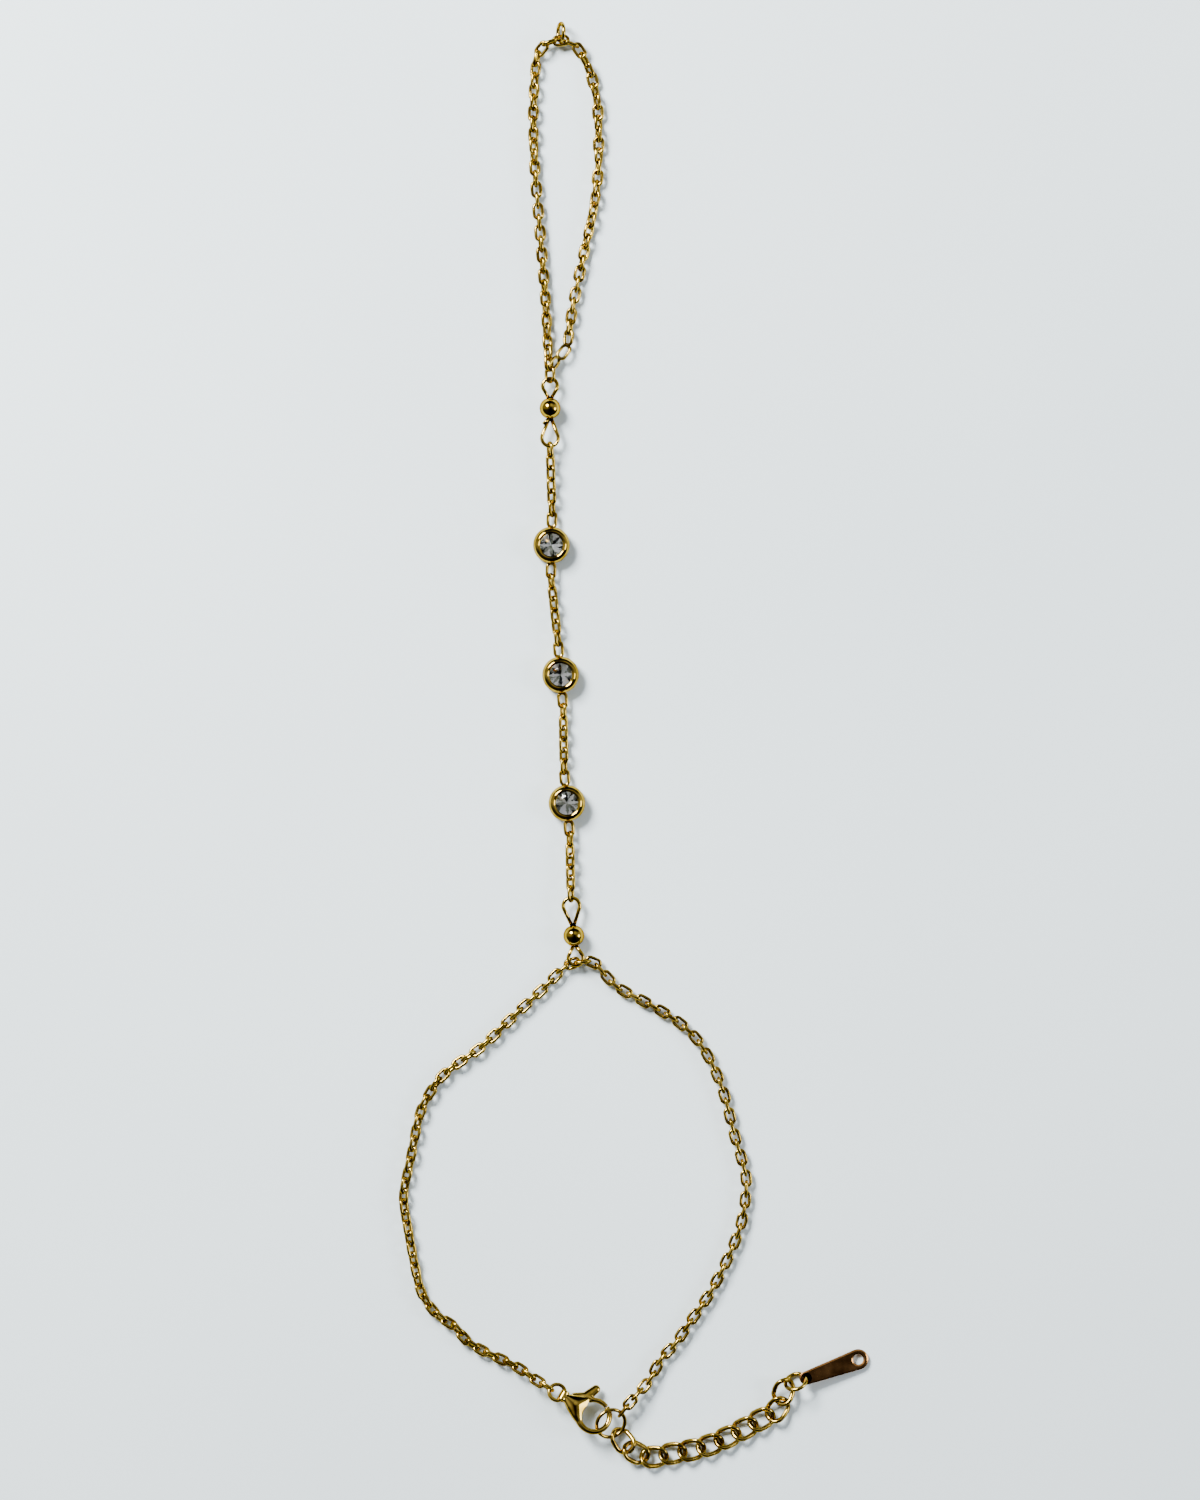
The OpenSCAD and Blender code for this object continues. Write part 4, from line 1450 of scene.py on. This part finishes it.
    def camera(self) -> None:
        """Points the camera straight down at the picture's middle."""
        x = (IMAGE_W / 2 - ORIGIN_PIXEL_X) / PIXELS_PER_MM * MM
        y = (ORIGIN_PIXEL_Y - IMAGE_H / 2) / PIXELS_PER_MM * MM
        camera = added(bpy.ops.object.camera_add, location=(x, y, self.camera_h), rotation=(0, 0, 0))
        camera.data.sensor_fit = "VERTICAL"
        camera.data.sensor_height = self.sensor_mm
        camera.data.lens = self.sensor_mm * self.camera_h / (IMAGE_H / PIXELS_PER_MM * MM)
        camera.data.clip_start = self.near_clip
        bpy.context.scene.camera = camera


def main() -> None:
    """Builds every sub-assembly around the frame."""
    logging.basicConfig(level=logging.INFO, format="%(name)s: %(message)s")
    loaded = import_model()
    frame = Frame(loaded["nodes"])
    # Drawn steel wire, soldered, tumbled and plated: bright but uneven, each link with its own glints
    chain_gold = PlatedSteel("gold_plated_chain_wire", "#BC9E46", "#725814", 0.11, 0.20).material()
    # Cast steel, hand polished and plated: the smoothest metal here, so its highlights have firm edges
    cast_gold = PlatedSteel("gold_plated_casting", "#C0A048", "#84681A", 0.045, 0.08).material()
    # Rolled hollow steel, barrel polished and plated: a round mirror, pale above and brown at its edge
    bead_gold = PlatedSteel("gold_plated_bead", "#C0A044", "#8A6E1C", 0.05, 0.09).material()
    # Punched sheet, tumbled and plated over its rolled grain: one even, softer and redder tone
    sheet_gold = PlatedSteel("gold_plated_sheet", "#B2804A", "#8C6032", 0.21, 0.27).material()
    # Pressed lead glass, ground and polished: clear, so the eye sees the foil through the facets
    glass = CutGlass("cut_lead_glass", "#FBFDFF").material()
    # Silver laid by vapour, one even coat; its white, grey and nearly black copies are painted reflection,
    # standing for the part of the room each facet throws back
    painted_reflection_foils = [
        SilverFoil("silver_foil_painted_bright_reflection", "#FFFFFF", "#E4E8EA").material(),
        SilverFoil("silver_foil_painted_grey_reflection", "#AEB2A6", "#747A70").material(),
        SilverFoil("silver_foil_painted_dark_reflection", "#3E4446", "#1E2224").material(),
    ]
    CableChains(frame, chain_gold).build()
    Extender(frame, chain_gold).build()
    JumpRings(frame, chain_gold).build()
    BeadOnWire(frame, bead_gold, "upper_bead", long_eye_down=True, cut_end=True).build()
    BeadOnWire(frame, bead_gold, "lower_bead", long_eye_down=False).build()
    for number in (1, 2, 3):
        turn = STONE_TURN_DEG * number
        BezelAndStone(frame, cast_gold, number, glass, painted_reflection_foils, facet_turn=turn).build()
    LobsterClasp(frame, cast_gold).build()
    EndTag(frame, sheet_gold).build()
    Studio().build()
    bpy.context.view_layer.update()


if __name__ == "__main__":
    main()
